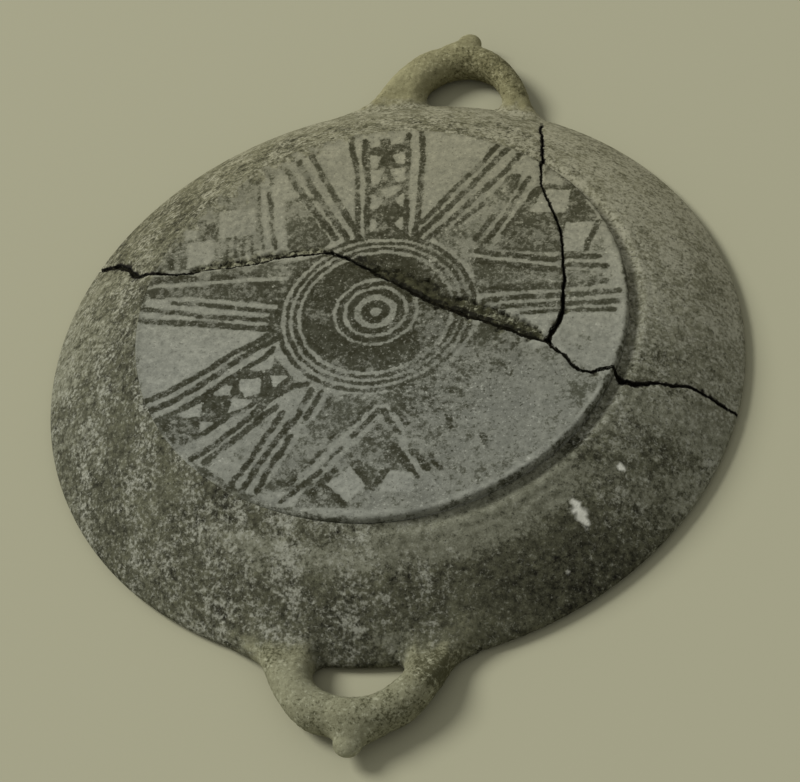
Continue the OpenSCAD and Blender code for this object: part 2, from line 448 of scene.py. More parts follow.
def triangulate(loop, inner, clear):
    # triangles inside the loop, through the inner points that stay clear of it
    outline = [tuple(p) for p in loop]
    away = lineDistance(inner[:, 0], inner[:, 1], outline + outline[:1])
    keep = insideLoop(inner[:, 0], inner[:, 1], outline) & (away > clear)
    points = [Vector(p) for p in loop] + [Vector(p) for p in inner[keep]]
    count = len(loop)
    edges = [(i, (i + 1) % count) for i in range(count)]
    made = delaunay_2d_cdt(points, edges, [], 1, 1e-5, True)
    spots = np.array([(p.x, p.y) for p in made[0]])
    faces = np.array(made[2])
    middle = spots[faces].mean(axis=1)
    faces = faces[insideLoop(middle[:, 0], middle[:, 1], outline)]
    corner = {old: new for new, olds in enumerate(made[3]) for old in olds if old < count}
    return spots, faces.tolist(), [corner[i] for i in range(count)]


sherdEdge = {"rows": 5, "rough": 0.35}  # rows of faces down a broken edge, and how far they wander


def slab(loop, topInner, underInner, topHeight, underHeight, seed):
    # a closed sherd: a fine top, a plain underside and rough edges between them
    top, topFaces, topEdge = triangulate(loop, topInner, 0.35)
    under, underFaces, underEdge = triangulate(loop, underInner, 0.8)
    topZ = topHeight(top[:, 0], top[:, 1])
    underZ = underHeight(under[:, 0], under[:, 1])
    spots = [np.column_stack([top, topZ]), np.column_stack([under, underZ])]
    faces = topFaces + [[i + len(top) for i in reversed(f)] for f in underFaces]
    start = len(top) + len(under)
    edgeTop = spots[0][topEdge]
    edgeUnder = spots[1][underEdge]
    strips = [np.array(topEdge)]
    rows = sherdEdge["rows"]
    for row in range(1, rows):
        share = row / rows
        ring = edgeTop * (1 - share) + edgeUnder * share
        height = np.maximum(edgeTop[:, 2] - edgeUnder[:, 2], 0)
        along = np.cumsum(np.hypot(*np.diff(ring[:, :2], axis=0, prepend=ring[:1, :2]).T))
        push = np.minimum(height / 3, 1) * ripple(along, row * 1.7 + 0 * along, 2.2, seed)
        push *= sherdEdge["rough"]
        outward = ring[:, :2] - ring[:, :2].mean(axis=0)
        outward /= np.hypot(*outward.T)[:, None]
        ring[:, :2] -= outward * np.abs(push)[:, None]
        spots.append(ring)
        strips.append(start + np.arange(len(ring)))
        start += len(ring)
    strips.append(np.array(underEdge) + len(top))
    count = len(loop)
    for upper, lower in zip(strips, strips[1:]):
        for i in range(count):
            j = (i + 1) % count
            faces.append([upper[j], upper[i], lower[i], lower[j]])
    return np.concatenate(spots), [[int(i) for i in f] for f in faces]


welding = {"gap": 0.01, "sliver": 0.005, "sharp": 42}


def weld(piece):
    # close the lip, where top and underside meet
    work = bmesh.new()
    work.from_mesh(piece.data)
    bmesh.ops.remove_doubles(work, verts=work.verts, dist=welding["gap"] * mm)
    bmesh.ops.dissolve_degenerate(work, edges=work.edges, dist=welding["sliver"] * mm)
    bmesh.ops.recalc_face_normals(work, faces=work.faces)
    work.to_mesh(piece.data)
    work.free()
    piece.data.shade_smooth()
    piece.data.set_sharp_from_angle(angle=math.radians(welding["sharp"]))


# The painted pattern of the foot, in plan, as the brush laid it

medallion = {
    "centre": (-1.5, 0),
    "rings": [(2.2, 6.3), (8.8, 12.3), (13.6, 16.8), (17.9, 31.7), (33, 35.4), (36.4, 38.6), (39.8, 42.4)],
    "clear": 41.4, "soft": 0.7,  # where the rays stop, and how soft the edges are
    "wash": 0.42, "smear": 0.34, "washEnd": 43.5,  # thin paint on the pale lines, and more at the right
}

# fills come first: outline and strength of the paint
fills = [
    ([(-52, 62), (-42, 62), (-26, 39), (-30, 32.5), (-48, 32.5)], 0.88),
    ([(-66, 81), (-57, 81), (-57, 70), (-62, 66), (-67, 70)], 0.85),
    ([(-47, -11), (-43, -12), (-40, -12), (-41, 15), (-47, 16)], 0.92),
    ([(-104, 18), (-101, 30), (-92, 50), (-80, 66), (-66, 78), (-57, 33), (-76, 23)], 0.8),
    ([(-84, 34), (-85, 47), (-79.5, 49), (-77, 38)], 1.0),
    ([(-106, 16), (-62, 20), (-44, 18), (-43, 1), (-86, 5.5), (-105, 5)], 0.95),
    ([(-43, -21), (-62, -41), (-85, -59), (-74, -73), (-46, -50), (-29, -37)], 0.97),
    ([(-24, -66), (-13, -60), (-4, -62), (-22, -92), (-34, -92)], 0.8),
    ([(8, -53), (20, -75), (12, -90), (-8, -75)], 0.88),
    ([(6, -54), (13, -64), (4, -67), (-1, -62)], 0.9),
    ([(-46, 26), (-31, 30), (-33, 20), (-36, 13.5), (-44, 13.5)], 0.88),
    ([(-55, 22), (-45, 26.5), (-43, 14), (-53, 14)], 0.78),
    ([(-104, 18.5), (-93, 18), (-76, 21.5), (-58, 25), (-46, 28.5), (-46, 20), (-62, 17), (-90, 14)], 0.82),
    ([(-18, -88), (-8, -84), (2, -98), (-20, -99)], 0.85),
    ([(43, 33), (58, 70), (70, 79), (87, 54), (84, 33)], 0.885),
    ([(84, 33), (88, 50), (93, 33)], 0.6),
    ([(59, 86), (66, 80), (80, 68), (72, 67), (61, 76)], 0.8),
    ([(72, 52), (72, 66), (81, 66), (82, 52)], 0.83),
    ([(38, 13), (36, 28), (92, 23), (92, 17)], 0.84),
    ([(37, 58), (48, 76), (50, 74), (43, 54)], 0.86),
    ([(26, 44), (40, 64), (45, 58), (34, 38)], 0.66),
    ([(20, 38), (38, 20), (52, 34), (30, 52)], 0.66),
    ([(12, 43.5), (26, 34), (38, 22), (46, 27), (40, 38), (26, 48)], 0.8),
    ([(-12, -43), (16, -42), (12, -48), (4, -49), (-4, -62), (-14, -70), (-22, -60)], 0.82),
    ([(12, -38), (40, -40), (58, -66), (38, -78), (20, -50)], 0.78),
    ([(40, -5), (60, -12), (78, -28), (62, -50), (40, -36)], 0.74),
    ([(-19, 97), (-1.5, 101), (1, 82), (3, 65), (5.5, 40), (-11.5, 39), (-14, 58), (-17, 78)], 0.97),
    # broad smears of thin paint
    ([(20, -38), (72, -16), (98, -30), (86, -56), (60, -82), (30, -98), (-20, -100), (-10, -62)], 0.76),
    ([(8, -42), (36, -22), (44, -2), (60, -8), (64, -26), (48, -50), (20, -54)], 0.9),
    ([(-46, 40), (-30, 92), (0, 101), (46, 92), (92, 46), (100, 10), (44, 4), (30, 30), (0, 43)], 0.15),
    ([(76, -2), (98, 0), (98, -26), (88, -28), (74, -12)], 0.4),
    ([(77, -7), (90, -11), (90, -14), (77, -10)], 0.66),
    ([(77, -11.5), (88, -16.5), (87, -19.5), (77, -14)], 0.66),
    ([(10, 43), (38, 96), (51, 89), (50, 76), (28, 44)], 0.4),
    ([(43, 4), (97, 1), (97, 20), (92, 34), (36, 34), (38, 13)], 0.52),
    ([(36, 36), (50, 78), (58, 74), (48, 40)], 0.52),
    ([(-43, -22), (-90, -60), (-66, -80), (-30, -98), (-8, -60), (-16, -40)], 0.5),
]

# reserved places are left in pale slip
reserves = [
    [(-79.5, 54.5), (-64, 57), (-61, 42), (-76.5, 40)],
    [(-90.5, 36.5), (-79.5, 38), (-76, 26), (-87.5, 22.5)],
    [(-94, 43), (-87.5, 44.5), (-87.5, 39), (-93, 38.5)],
    [(-50, -31.5), (-41, -23.5), (-41, -30.5), (-47.5, -32.5)],
    [(-53, -36.5), (-44.5, -36.5), (-43.5, -43.5), (-49.5, -45.5), (-53, -41)],
    [(-63, -44.5), (-58.5, -39.5), (-56, -40.5), (-56.5, -44.5), (-60, -45)],
    [(-54.5, -46.5), (-45, -47.5), (-49.5, -50.5), (-54.5, -54.5)],
    [(-75.5, -55), (-67, -49.5), (-67, -56), (-73, -56.5)],
    [(-65, -59), (-59, -59), (-60.5, -64), (-65.5, -66.5)],
    [(-40, -34.5), (-33.5, -34.5), (-38.5, -40.5)],
    [(0, -79), (7, -88), (0.5, -96.5), (-8.5, -88)],
    [(14, -80), (25, -81), (27, -90), (12, -90)],
    [(62.5, 68), (74, 68), (72.5, 55.5), (58, 56)],
    [(73.5, 49.5), (86.5, 50), (83, 34), (74.5, 34)],
    [(62.5, 71.5), (63, 76.5), (70, 76), (70, 71)],
    # light cells of the lattice column
    [(-18, 97), (-14.5, 98), (-13.5, 94.5), (-17.5, 92.5)],
    [(-9.5, 100.5), (-2.5, 100.5), (-3.5, 95.5), (-8.5, 95)],
    [(-17, 88.5), (-12, 87), (-13, 81), (-15.5, 81)],
    [(-6.5, 88), (-1.5, 90.5), (-1, 83.5), (-4.5, 84)],
    [(-15, 79), (-10, 79.5), (-10.5, 72), (-13.5, 70.5)],
    [(-6.5, 79.5), (0, 81), (1.5, 73.5), (-3, 73)],
    [(-9.5, 68), (-2, 70.5), (-0.5, 68), (-6, 63)],
    [(-12.5, 65), (-7, 62), (-10.5, 55.5), (-12.5, 58)],
    [(-2, 62.5), (2, 67), (3, 57), (0, 60)],
    [(-11.5, 51.5), (-7.5, 48.5), (-10, 44), (-11.5, 45.5)],
    [(-0.5, 49), (2.5, 53), (4.5, 45), (2, 46)],
]

# brush strokes: width, then the points that they run through
strokes = [
    # the lattice column at the top and the pairs of lines beside it
    (2.0, [(-27, 98.5), (-25.5, 91), (-22.5, 83), (-20.5, 74), (-18.5, 61), (-15, 40)]),
    (2.0, [(-20.5, 97), (-18.5, 82.5), (-15.5, 73.5), (-13.5, 55), (-11, 40)]),
    (2.0, [(-1.5, 101), (0, 91), (1, 82), (2, 69), (4, 56), (5.5, 41)]),
    (2.1, [(4.5, 102), (5.5, 96), (7, 86), (8, 71), (9.5, 51), (9, 40)]),
    # eleven o'clock
    (2.4, [(-44, 89), (-36, 75), (-26.5, 59.5), (-19, 48), (-14, 40)]),
    (2.6, [(-48.5, 84), (-40, 69), (-32, 57), (-20, 40)]),
    (2.6, [(-53, 79), (-46, 68), (-38, 57), (-25, 40)]),
    (1.6, [(-46, 62.5), (-35, 62.5)]),
    # half past ten, and the hatching beside it
    (1.5, [(-59, 66), (-56, 55), (-54, 44), (-50.5, 34)]),
    (1.3, [(-64, 68), (-62, 56), (-59, 45), (-56, 34)]),
    (1.0, [(-62.5, 41), (-60.5, 31)]),
    (1.0, [(-66, 40), (-64, 30)]),
    (1.0, [(-69.5, 40), (-67.5, 29)]),
    (1.0, [(-73, 39), (-71, 28)]),
    (1.8, [(-91, 46), (-86, 49)]),
    (1.8, [(-98, 36), (-95, 22)]),
    # nine o'clock
    (2.6, [(-105, 15), (-90, 17.5), (-79.5, 16.5), (-69, 17.5), (-58, 19.5)]),
    (1.9, [(-90, 3), (-79.5, 2.7), (-69, 1.7), (-61, 0.8), (-50.5, -0.5), (-41, -1)]),
    (2.0, [(-105, -0.7), (-99, -1), (-83, -2.6), (-75, -4.2), (-60, -4.5), (-40.5, -5.7)]),
    (2.6, [(-105, -5), (-99.5, -7), (-90, -7.8), (-69, -8.3), (-60, -9.2), (-50.5, -10), (-40, -9.4)]),
    # half past eight
    (2.5, [(-92, -49.5), (-84, -45), (-75, -38), (-67.5, -32), (-59.5, -24), (-50.5, -17.5), (-41, -10)]),
    (2.5, [(-89, -54.5), (-80, -49), (-72, -42.5), (-64, -35), (-58, -28.5), (-50, -21.5), (-40, -14)]),
    (2.2, [(-85, -59), (-77, -54), (-70.5, -48.5), (-63, -41.5), (-54.5, -33.5), (-44, -24.5), (-42, -20.5)]),
    # quarter to eight
    (2.0, [(-75, -72), (-63, -64), (-53.5, -55), (-47, -51), (-39, -43), (-33, -38)]),
    (2.5, [(-66, -77), (-57.5, -70), (-52, -63), (-44.5, -54.5), (-39.5, -47.5), (-30, -39.5), (-25, -38.5)]),
    (2.6, [(-60, -78.5), (-51.5, -69), (-43.5, -60), (-40.5, -55), (-35.5, -50.5)]),
    # seven o'clock
    (2.3, [(-48.5, -91), (-45, -84), (-41.5, -77.5), (-37.5, -66), (-34.5, -59.5), (-32.5, -53)]),
    (2.2, [(-41.5, -90.5), (-38.5, -82), (-35.5, -73.5), (-30, -62), (-29, -58)]),
    (2.4, [(-36, -92), (-34, -83.5), (-32, -78), (-29, -72), (-27.5, -65)]),
    (2.2, [(-28, -60), (-25.5, -54), (-24, -47.5), (-22, -41.5)]),
    (2.0, [(-22, -55), (-19.5, -48), (-18, -42.5)]),
    (1.9, [(-15, -50), (-13.5, -44)]),
    # six o'clock, an upturned V
    (2.0, [(5, -46.5), (0.5, -53), (-2.5, -58)]),
    (2.2, [(-8.5, -64), (-9.5, -66)]),
    (1.2, [(-11.5, -70.5), (-15.5, -75.5), (-18, -80)]),
    (1.9, [(7, -51), (4, -56), (1, -60.5), (-1.5, -64)]),
    (1.2, [(-5, -69.5), (-8, -73.5), (-10, -79)]),
    (2.2, [(-12, -81.5), (-14, -83.5), (-17, -87), (-21, -91.5), (-25, -96)]),
    (2.4, [(-2, -73), (-3.5, -76)]),
    (2.4, [(-6, -80), (-11, -87.5), (-14, -93)]),
    (2.4, [(-9, -89), (0, -97)]),
    (2.4, [(3, -80), (10.5, -89), (14.5, -80)]),
    (2.2, [(7, -57.5), (12.5, -63.5)]),
    (2.4, [(9, -51), (14, -58.5), (17, -62)]),
    (2.9, [(14.5, -67.5), (19.5, -72.5), (22.5, -77), (24.5, -79)]),
    (1.0, [(26, -80.5), (28, -83.5)]),
    (2.0, [(13.5, -50.5), (16.5, -52.5), (19.5, -57)]),
    (2.4, [(24, -70.5), (27.5, -74), (30.5, -78.5)]),
    (1.5, [(31, -72), (36, -78.5)]),
    # five and four o'clock, nearly worn away
    (2.2, [(24, -38), (30, -50)]),
    (2.0, [(34, -46), (38, -58)]),
    (2.6, [(51, -62), (54, -68)]),
    # three o'clock
    (3.0, [(42, 12), (50, 13), (57, 14), (73.5, 15), (86, 16.5), (92.5, 18)]),
    (2.4, [(43.5, 6.5), (55, 8.5), (65, 9.2), (83, 10.8), (99, 13)]),
    (2.2, [(50, 3.6), (71, 5), (99, 7.2)]),
    (1.7, [(60, 0.5), (73.5, 1.7), (98, 3)]),
    (2.6, [(37, 33.5), (44.5, 32), (53.5, 31.3), (70, 29), (76, 31.5), (89, 31)]),
    (3.0, [(35, 28.5), (44.5, 27), (53.5, 26), (73.5, 23.5)]),
    (2.4, [(76.5, 26.6), (93, 26)]),
    # two o'clock
    (2.5, [(50, 76), (48, 65.5), (44.5, 58), (41, 50.5), (36, 40)]),
    (2.2, [(55, 75), (50, 60.5), (47, 52.5), (43, 43.5), (38.5, 34.5)]),
    (2.4, [(59, 68), (54.5, 58), (48, 43.5)]),
    (2.0, [(87.5, 50), (84.5, 41), (83.5, 35)]),
    # one o'clock
    (2.1, [(39, 94), (34.5, 85), (28, 75.5), (22, 66.5), (16.5, 56.5), (11.5, 49.5)]),
    (2.5, [(43.5, 91.5), (38.5, 83.5), (31.5, 72), (23.5, 60), (17, 50.5), (10.5, 41.5)]),
    (2.5, [(49.5, 88.5), (45.5, 80.5), (40, 73), (33.5, 64.5), (27, 55), (20, 45.5), (15.5, 40.5)]),
    (2.2, [(48, 76), (42, 66), (35, 58), (27, 48.5)]),
]

# light lines that cut through fills: width, how much paint they take and points
lightLines = [
    (0.3, 1.0, [(-106.5, 10.8), (-100.5, 12), (-90, 13), (-79.5, 14), (-62, 16.2), (-43, 17.4)]),
    (0.5, 1.0, [(-86, 5.5), (-69, 4), (-51.5, 2.4), (-43, 1.2)]),
    (3.2, 1.0, [(-57, 68.5), (-54, 60), (-51.5, 48), (-47.5, 33.5)]),
    (2.2, 1.0, [(-62, 73), (-60, 61), (-57.5, 49), (-53, 33)]),
    (1.7, 1.0, [(-41.5, 61), (-37, 55), (-28, 43), (-24, 38)]),
    (1.8, 1.0, [(36, 30.5), (47.5, 29.5), (60.5, 27.3), (73.5, 26)]),
    (1.7, 1.0, [(76.5, 28.7), (100, 28)]),
    (1.9, 0.36, [(5, -52), (-2, -61), (-10, -73), (-17.5, -83), (-24, -88)]),
    (1.6, 0.36, [(7.5, -55), (1.5, -64), (-6, -73), (-10, -80), (-18, -90), (-22, -95)]),
    (1.8, 0.45, [(9.5, -49), (17, -58.5), (20.5, -69), (26, -77), (30.5, -81.5), (36, -87)]),
]

# the curl beside six o'clock: centre, radius and width
curl = {"centre": (-25.5, -84.5), "radius": 3.8, "width": 2.0, "from": 45, "sweep": -170}

# worn places: centre, reach and how much paint is gone
wornPlaces = [
    (-1.5, 0, 26, -0.12), (60, -34, 22, 0.2), (60, -55, 26, 0.2), (30, -52, 16, 0.06),
    (-25, -4, 6, 0.3), (-6, -31, 9, 0.03), (2, -28, 9, 0.02), (24, -6, 9, 0.28), (-78, 60, 16, 0.1),
    (0, 72, 9, 0.15), (-70, -70, 10, 0.2), (-26, -72, 20, 0.06), (14, 2, 6, 0.22), (62, 44, 14, 0.06),
    (28, -22, 12, 0.04), (-20, -32, 11, 0.1), (-22, -15, 8, -0.3), (20, -73, 4, -0.25), (5, -75, 12, 0.12),
    (26, -94, 12, 0.25), (10, -98, 7, 0.2), (38, -86, 9, 0.2),
    (29.5, 14.5, 3.5, 0.3), (24.7, 22, 3.5, 0.3), (18, 28, 3.5, 0.3),
]

# places where the paint was thin from the start: centre, reach and share
fadedPlaces = [
    (-68, 48, 22, 0.16), (-34, 70, 22, 0.17), (34, 68, 22, 0.17), (80, 14, 18, 0.14), (24, -30, 16, 0.12),
    (-2, 76, 14, 0.1), (-80, -2, 24, 0.12), (44, 60, 9, 0.1), (-49, 79, 9, 0.18), (-55, 50, 10, 0.12),
    (-12, -38, 12, 0.1), (37, 36, 6, 0.12), (-13, -73, 7, 0.12), (-4, -68, 6, 0.1),
]

footWearing = {"even": 0.3, "cloud": 0.1, "most": 0.9}

# dark wall paint that runs a little over the foot's edge, most at the lower left
creepPaint = {
    "from": 100.8, "ragged": 0.9, "soft": 2.6, "cover": 0.62, "atGroove": 0.22, "cloud": 0.2, "most": 0.9,
    "lowTurn": -118, "lowSpread": 20, "lowWider": 2, "lowMore": 0.25,
}


def handOf(x, y):
    # the brush's small wander
    wide = (ripple(x, y, 7, 61), ripple(x, y, 7, 62))
    fine = (ripple(x, y, 2.4, 65), ripple(x, y, 2.4, 66))
    return x + 0.28 * wide[0] + 0.2 * fine[0], y + 0.28 * wide[1] + 0.2 * fine[1]


def strokeCover(x, y, width, points):
    return smooth((width / 2 + 0.6 - lineDistance(x, y, points)) / 1.3 + 0.5)


def footPaint(x, y):
    px, py = handOf(x, y)
    cover = np.zeros_like(x)
    for outline, strength in fills:
        cover = np.maximum(cover, strength * smooth(insideDepth(px, py, outline) / 1.6 + 0.5))
    for outline in reserves:
        cover *= 1 - smooth(insideDepth(px, py, outline) / 0.7 + 0.5)
    for width, share, points in lightLines:
        cover *= 1 - share * strokeCover(px, py, width, points)
    for width, points in strokes:
        cover = np.maximum(cover, strokeCover(px, py, width, points))
    turns = np.radians(curl["from"] + np.linspace(0, curl["sweep"], 10))
    bow = np.array(curl["centre"]) + curl["radius"] * np.column_stack([np.cos(turns), np.sin(turns)])
    cover = np.maximum(cover, strokeCover(px, py, curl["width"], bow))
    away = np.hypot(px - medallion["centre"][0], py - medallion["centre"][1])
    soft = medallion["soft"]
    cover *= smooth((away - medallion["clear"]) / soft)
    for inner, outer in medallion["rings"]:
        ring = smooth((away - inner) / soft + 0.5) * smooth((outer - away) / soft + 0.5)
        cover = np.maximum(cover, ring)
    wash = medallion["wash"] + medallion["smear"] * smooth((x - 4) / 16)
    cover = np.maximum(cover, wash * smooth((medallion["washEnd"] - away) / 1.5))
    for fx, fy, reach, share in fadedPlaces:
        cover *= 1 - share * spotShare(x, y, fx, fy, reach)
    return np.clip(np.maximum(cover, wallCreep(x, y)), 0, 1)


def wallCreep(x, y):
    ragged = ripple(x, y, 6, 63) + 0.7 * ripple(x, y, 2.6, 67)
    low = bell(turnOf(x, y), creepPaint["lowTurn"], creepPaint["lowSpread"])
    start = creepPaint["from"] - creepPaint["lowWider"] * low + creepPaint["ragged"] * ragged
    cover = creepPaint["cover"] + creepPaint["lowMore"] * low + creepPaint["atGroove"] * grooveShare(x, y)
    cover += creepPaint["cloud"] * ripple(x, y, 20, 64)
    return smooth((np.hypot(x, y) - start) / creepPaint["soft"]) * np.clip(cover, 0, creepPaint["most"])


def footWear(x, y):
    wear = np.full_like(x, footWearing["even"])
    for wx, wy, reach, amount in wornPlaces:
        wear += amount * spotShare(x, y, wx, wy, reach)
    return np.clip(wear + footWearing["cloud"] * ripple(x, y, 16, 71), 0, footWearing["most"])


# dirt with painted shade beside the breaks: least and added reach, and how much lies in chips and round
# flaked scars
dirtBand = {"reach": 0.25, "wider": 0.65, "inChips": 0.55, "roundScars": 0.6}


def breakDirt(x, y):
    # darker beside the breaks and in the chips: dirt, with painted shade of the gaps' edges and of the chips'
    # hollows
    away, run = nearBreak(x, y)
    reach = dirtBand["reach"] + dirtBand["wider"] * smooth(0.5 + rippleAlong(run, 6, 81))
    return np.maximum(smooth(1 - away / reach), dirtBand["inChips"] * smooth(chipLoss(x, y)))


# where the wall's skin runs on over the foot's edge: turn in degrees, spread and reach
edgeSkins = [(135, 34, 4.5), (70, 30, 1.2), (-114, 20, 1.4)]
edgeSkinMost = 0.92


def footEdge(x, y):
    # how far the wall's skin covers the foot's edge, most at the upper left
    turn = turnOf(x, y)
    reach = sum(most * bell(turn, middle, spread) for middle, spread, most in edgeSkins)
    ragged = 2.2 * ripple(x, y, 9, 68) + 1.1 * ripple(x, y, 3.5, 69)
    share = smooth((np.hypot(x, y) - footR + reach * (1.3 + 0.5 * ragged)) / 3)
    return edgeSkinMost * share * np.minimum(reach / 2, 1)


# dark bands beside the main break on the foot, dirt with painted shade of the break's edge: middle, reach
# along and across, turn and amount
breakGrimeAndShade = [
    (-10, 28, 9, 2.6, -18, 0.5), (22, 14, 4, 2.2, -25, 0.65), (42, 0.2, 32, 1.0, -22, 0.75),
    (12, 13.5, 18, 1.4, -31, 0.8),
]


def footDirt(x, y):
    # darker at the breaks, the chips, along the main break and round the scars: dirt with painted shade
    dirt = breakDirt(x, y)
    for gx, gy, along, across, turn, amount in breakGrimeAndShade:
        u, v = turnedFrame(x, y, gx, gy, turn)
        dirt = np.maximum(dirt, amount * np.exp(-(u / along) ** 4 - (v / across) ** 4))
    # a dark ring just inside the flaked scars' rims: painted shade of the step down into each scar
    for _, outline in footShape["flakes"]:
        dirt = np.maximum(dirt, dirtBand["roundScars"] * bell(flakeEdge(x, y, outline), 0.5, 0.6))
    return dirt


# Node helpers

def tone(red, green, blue):
    # colour as seen on a screen, 0 to 255, to the linear colour that Blender wants
    shares = [c / 255 for c in (red, green, blue)]
    return tuple(s / 12.92 if s < 0.04 else ((s + 0.055) / 1.055) ** 2.4 for s in shares) + (1.0,)


def put(tree, kind, spot, **values):
    node = tree.nodes.new(kind)
    node.location = (spot[0] * 180, -spot[1] * 160)
    for key, value in values.items():
        if hasattr(node, key):
            setattr(node, key, value)
        else:
            node.inputs[key.replace("_", " ")].default_value = value
    return node


def newGroup(name, takes, gives):
    tree = bpy.data.node_groups.new(name, "ShaderNodeTree")
    for label, kind, value in takes:
        socket = tree.interface.new_socket(name=label, in_out="INPUT", socket_type=kind)
        socket.default_value = value
    for label, kind in gives:
        tree.interface.new_socket(name=label, in_out="OUTPUT", socket_type=kind)
    return tree, put(tree, "NodeGroupInput", (-6, 0)), put(tree, "NodeGroupOutput", (6, 0))


def noiseAt(tree, spot, coords, scale, detail=3.0, roughness=0.55):
    node = put(tree, "ShaderNodeTexNoise", spot, Scale=scale, Detail=detail, Roughness=roughness)
    tree.links.new(coords.outputs["Object"], node.inputs["Vector"])
    return node


def mathNode(tree, spot, operation, first, second=None, third=None, clamp=False):
    node = put(tree, "ShaderNodeMath", spot, operation=operation, use_clamp=clamp)
    for index, source in enumerate((first, second, third)):
        if source is None:
            continue
        if isinstance(source, (int, float)):
            node.inputs[index].default_value = source
        else:
            tree.links.new(source, node.inputs[index])
    return node.outputs[0]


def stepNode(tree, spot, value, low, high):
    # 0 below low, 1 above high, eased between; low and high may be sockets
    node = put(tree, "ShaderNodeMapRange", spot, interpolation_type="SMOOTHSTEP")
    tree.links.new(value, node.inputs["Value"])
    for label, source in (("From Min", low), ("From Max", high)):
        if isinstance(source, (int, float)):
            node.inputs[label].default_value = source
        else:
            tree.links.new(source, node.inputs[label])
    return node.outputs["Result"]


def mixNode(tree, spot, factor, first, second, blend="MIX"):
    node = put(tree, "ShaderNodeMix", spot, data_type="RGBA", blend_type=blend, clamp_factor=True)
    for socket, source in ((node.inputs[0], factor), (node.inputs[6], first), (node.inputs[7], second)):
        if isinstance(source, bpy.types.NodeSocket):
            tree.links.new(source, socket)
        else:
            socket.default_value = source
    return node.outputs[2]


# Shared effects

def blend(tree, spot, parts):
    # weighted sum of sockets
    total = 0.0
    for number, (source, weight) in enumerate(parts):
        total = mathNode(tree, (spot[0] + number, spot[1]), "MULTIPLY_ADD", source, weight, total)
    return total


def flakedPaintGroup():
    # old paint that has come off in small flakes: Cover is where it was laid, Wear how much is gone
    tree, takes, gives = newGroup(
        "flakedPaint",
        [("Cover", "NodeSocketFloat", 1.0), ("Wear", "NodeSocketFloat", 0.2),
         ("Flake", "NodeSocketFloat", 500.0), ("Stain", "NodeSocketFloat", 0.25)],
        [("Mask", "NodeSocketFloat")],
    )
    coords = put(tree, "ShaderNodeTexCoord", (-8, 2))
    flake = noiseAt(tree, (-6, 2), coords, 500.0, 5.0, 0.7)
    tree.links.new(takes.outputs["Flake"], flake.inputs["Scale"])
    patch = noiseAt(tree, (-6, 4), coords, 170.0, 5.0, 0.68)
    value = blend(tree, (-4, 3), [(flake.outputs["Fac"], 0.68), (patch.outputs["Fac"], 0.32),
                                  (takes.outputs["Cover"], 0.35)])
    level = mathNode(tree, (-4, 5), "MULTIPLY_ADD", takes.outputs["Wear"], 0.4, 0.65)
    low = mathNode(tree, (-2, 5), "SUBTRACT", level, 0.07)
    high = mathNode(tree, (-2, 6), "ADD", level, 0.07)
    left = stepNode(tree, (0, 4), value, low, high)
    # a stain stays where the paint has gone
    ghost = mathNode(tree, (0, 2), "MULTIPLY", takes.outputs["Cover"], takes.outputs["Stain"])
    gone = mathNode(tree, (1, 3), "SUBTRACT", 1.0, left)
    mask = mathNode(tree, (2, 2), "MULTIPLY_ADD", ghost, gone, left, clamp=True)
    tree.links.new(mask, gives.inputs["Mask"])
    return tree


def paleCrustGroup():
    # pale burial crust in soft specks and blotches
    tree, takes, gives = newGroup(
        "paleCrust",
        [("Amount", "NodeSocketFloat", 0.4), ("Speck", "NodeSocketFloat", 450.0),
         ("Soft", "NodeSocketFloat", 0.07)],
        [("Mask", "NodeSocketFloat")],
    )
    coords = put(tree, "ShaderNodeTexCoord", (-8, 2))
    speck = noiseAt(tree, (-6, 2), coords, 450.0, 5.0, 0.64)
    tree.links.new(takes.outputs["Speck"], speck.inputs["Scale"])
    blotch = noiseAt(tree, (-6, 4), coords, 150.0, 5.0, 0.68)
    value = blend(tree, (-4, 3), [(speck.outputs["Fac"], 0.68), (blotch.outputs["Fac"], 0.32)])
    level = mathNode(tree, (-4, 1), "MULTIPLY_ADD", takes.outputs["Amount"], -0.36, 0.68)
    low = mathNode(tree, (-2, 1), "SUBTRACT", level, takes.outputs["Soft"])
    high = mathNode(tree, (-2, 2), "ADD", level, takes.outputs["Soft"])
    mask = stepNode(tree, (0, 2), value, low, high)
    tree.links.new(mask, gives.inputs["Mask"])
    return tree


def clayGrainGroup():
    # cloudy tone, grit and pores of the fired clay
    tree, _, gives = newGroup(
        "clayGrain",
        [],
        [("Tone", "NodeSocketFloat"), ("Height", "NodeSocketFloat"), ("Light", "NodeSocketFloat"),
         ("Dark", "NodeSocketFloat")],
    )
    coords = put(tree, "ShaderNodeTexCoord", (-8, 2))
    fine = noiseAt(tree, (-6, 1), coords, 1300.0, 4.0, 0.7)
    middle = noiseAt(tree, (-6, 2), coords, 300.0, 5.0, 0.7)
    broad = noiseAt(tree, (-6, 3), coords, 40.0, 4.0, 0.55)
    toned = blend(tree, (-4, 2), [(fine.outputs["Fac"], 0.6), (middle.outputs["Fac"], 2.0),
                                  (broad.outputs["Fac"], 0.8)])
    toned = mathNode(tree, (-1, 2), "SUBTRACT", toned, 1.2, clamp=True)
    tree.links.new(toned, gives.inputs["Tone"])
    pores = put(tree, "ShaderNodeTexVoronoi", (-6, 5), Scale=420.0, Randomness=1.0)
    tree.links.new(coords.outputs["Object"], pores.inputs["Vector"])
    pore = stepNode(tree, (-4, 5), pores.outputs["Distance"], 0.05, 0.28)
    height = blend(tree, (-2, 5), [(pore, 0.5), (fine.outputs["Fac"], 1.0), (middle.outputs["Fac"], 0.8)])
    tree.links.new(height, gives.inputs["Height"])
    specks = noiseAt(tree, (-6, 7), coords, 720.0, 4.0, 0.68)
    tree.links.new(stepNode(tree, (-4, 7), specks.outputs["Fac"], 0.56, 0.7), gives.inputs["Light"])
    tree.links.new(stepNode(tree, (-4, 8), specks.outputs["Fac"], 0.44, 0.3), gives.inputs["Dark"])
    return tree


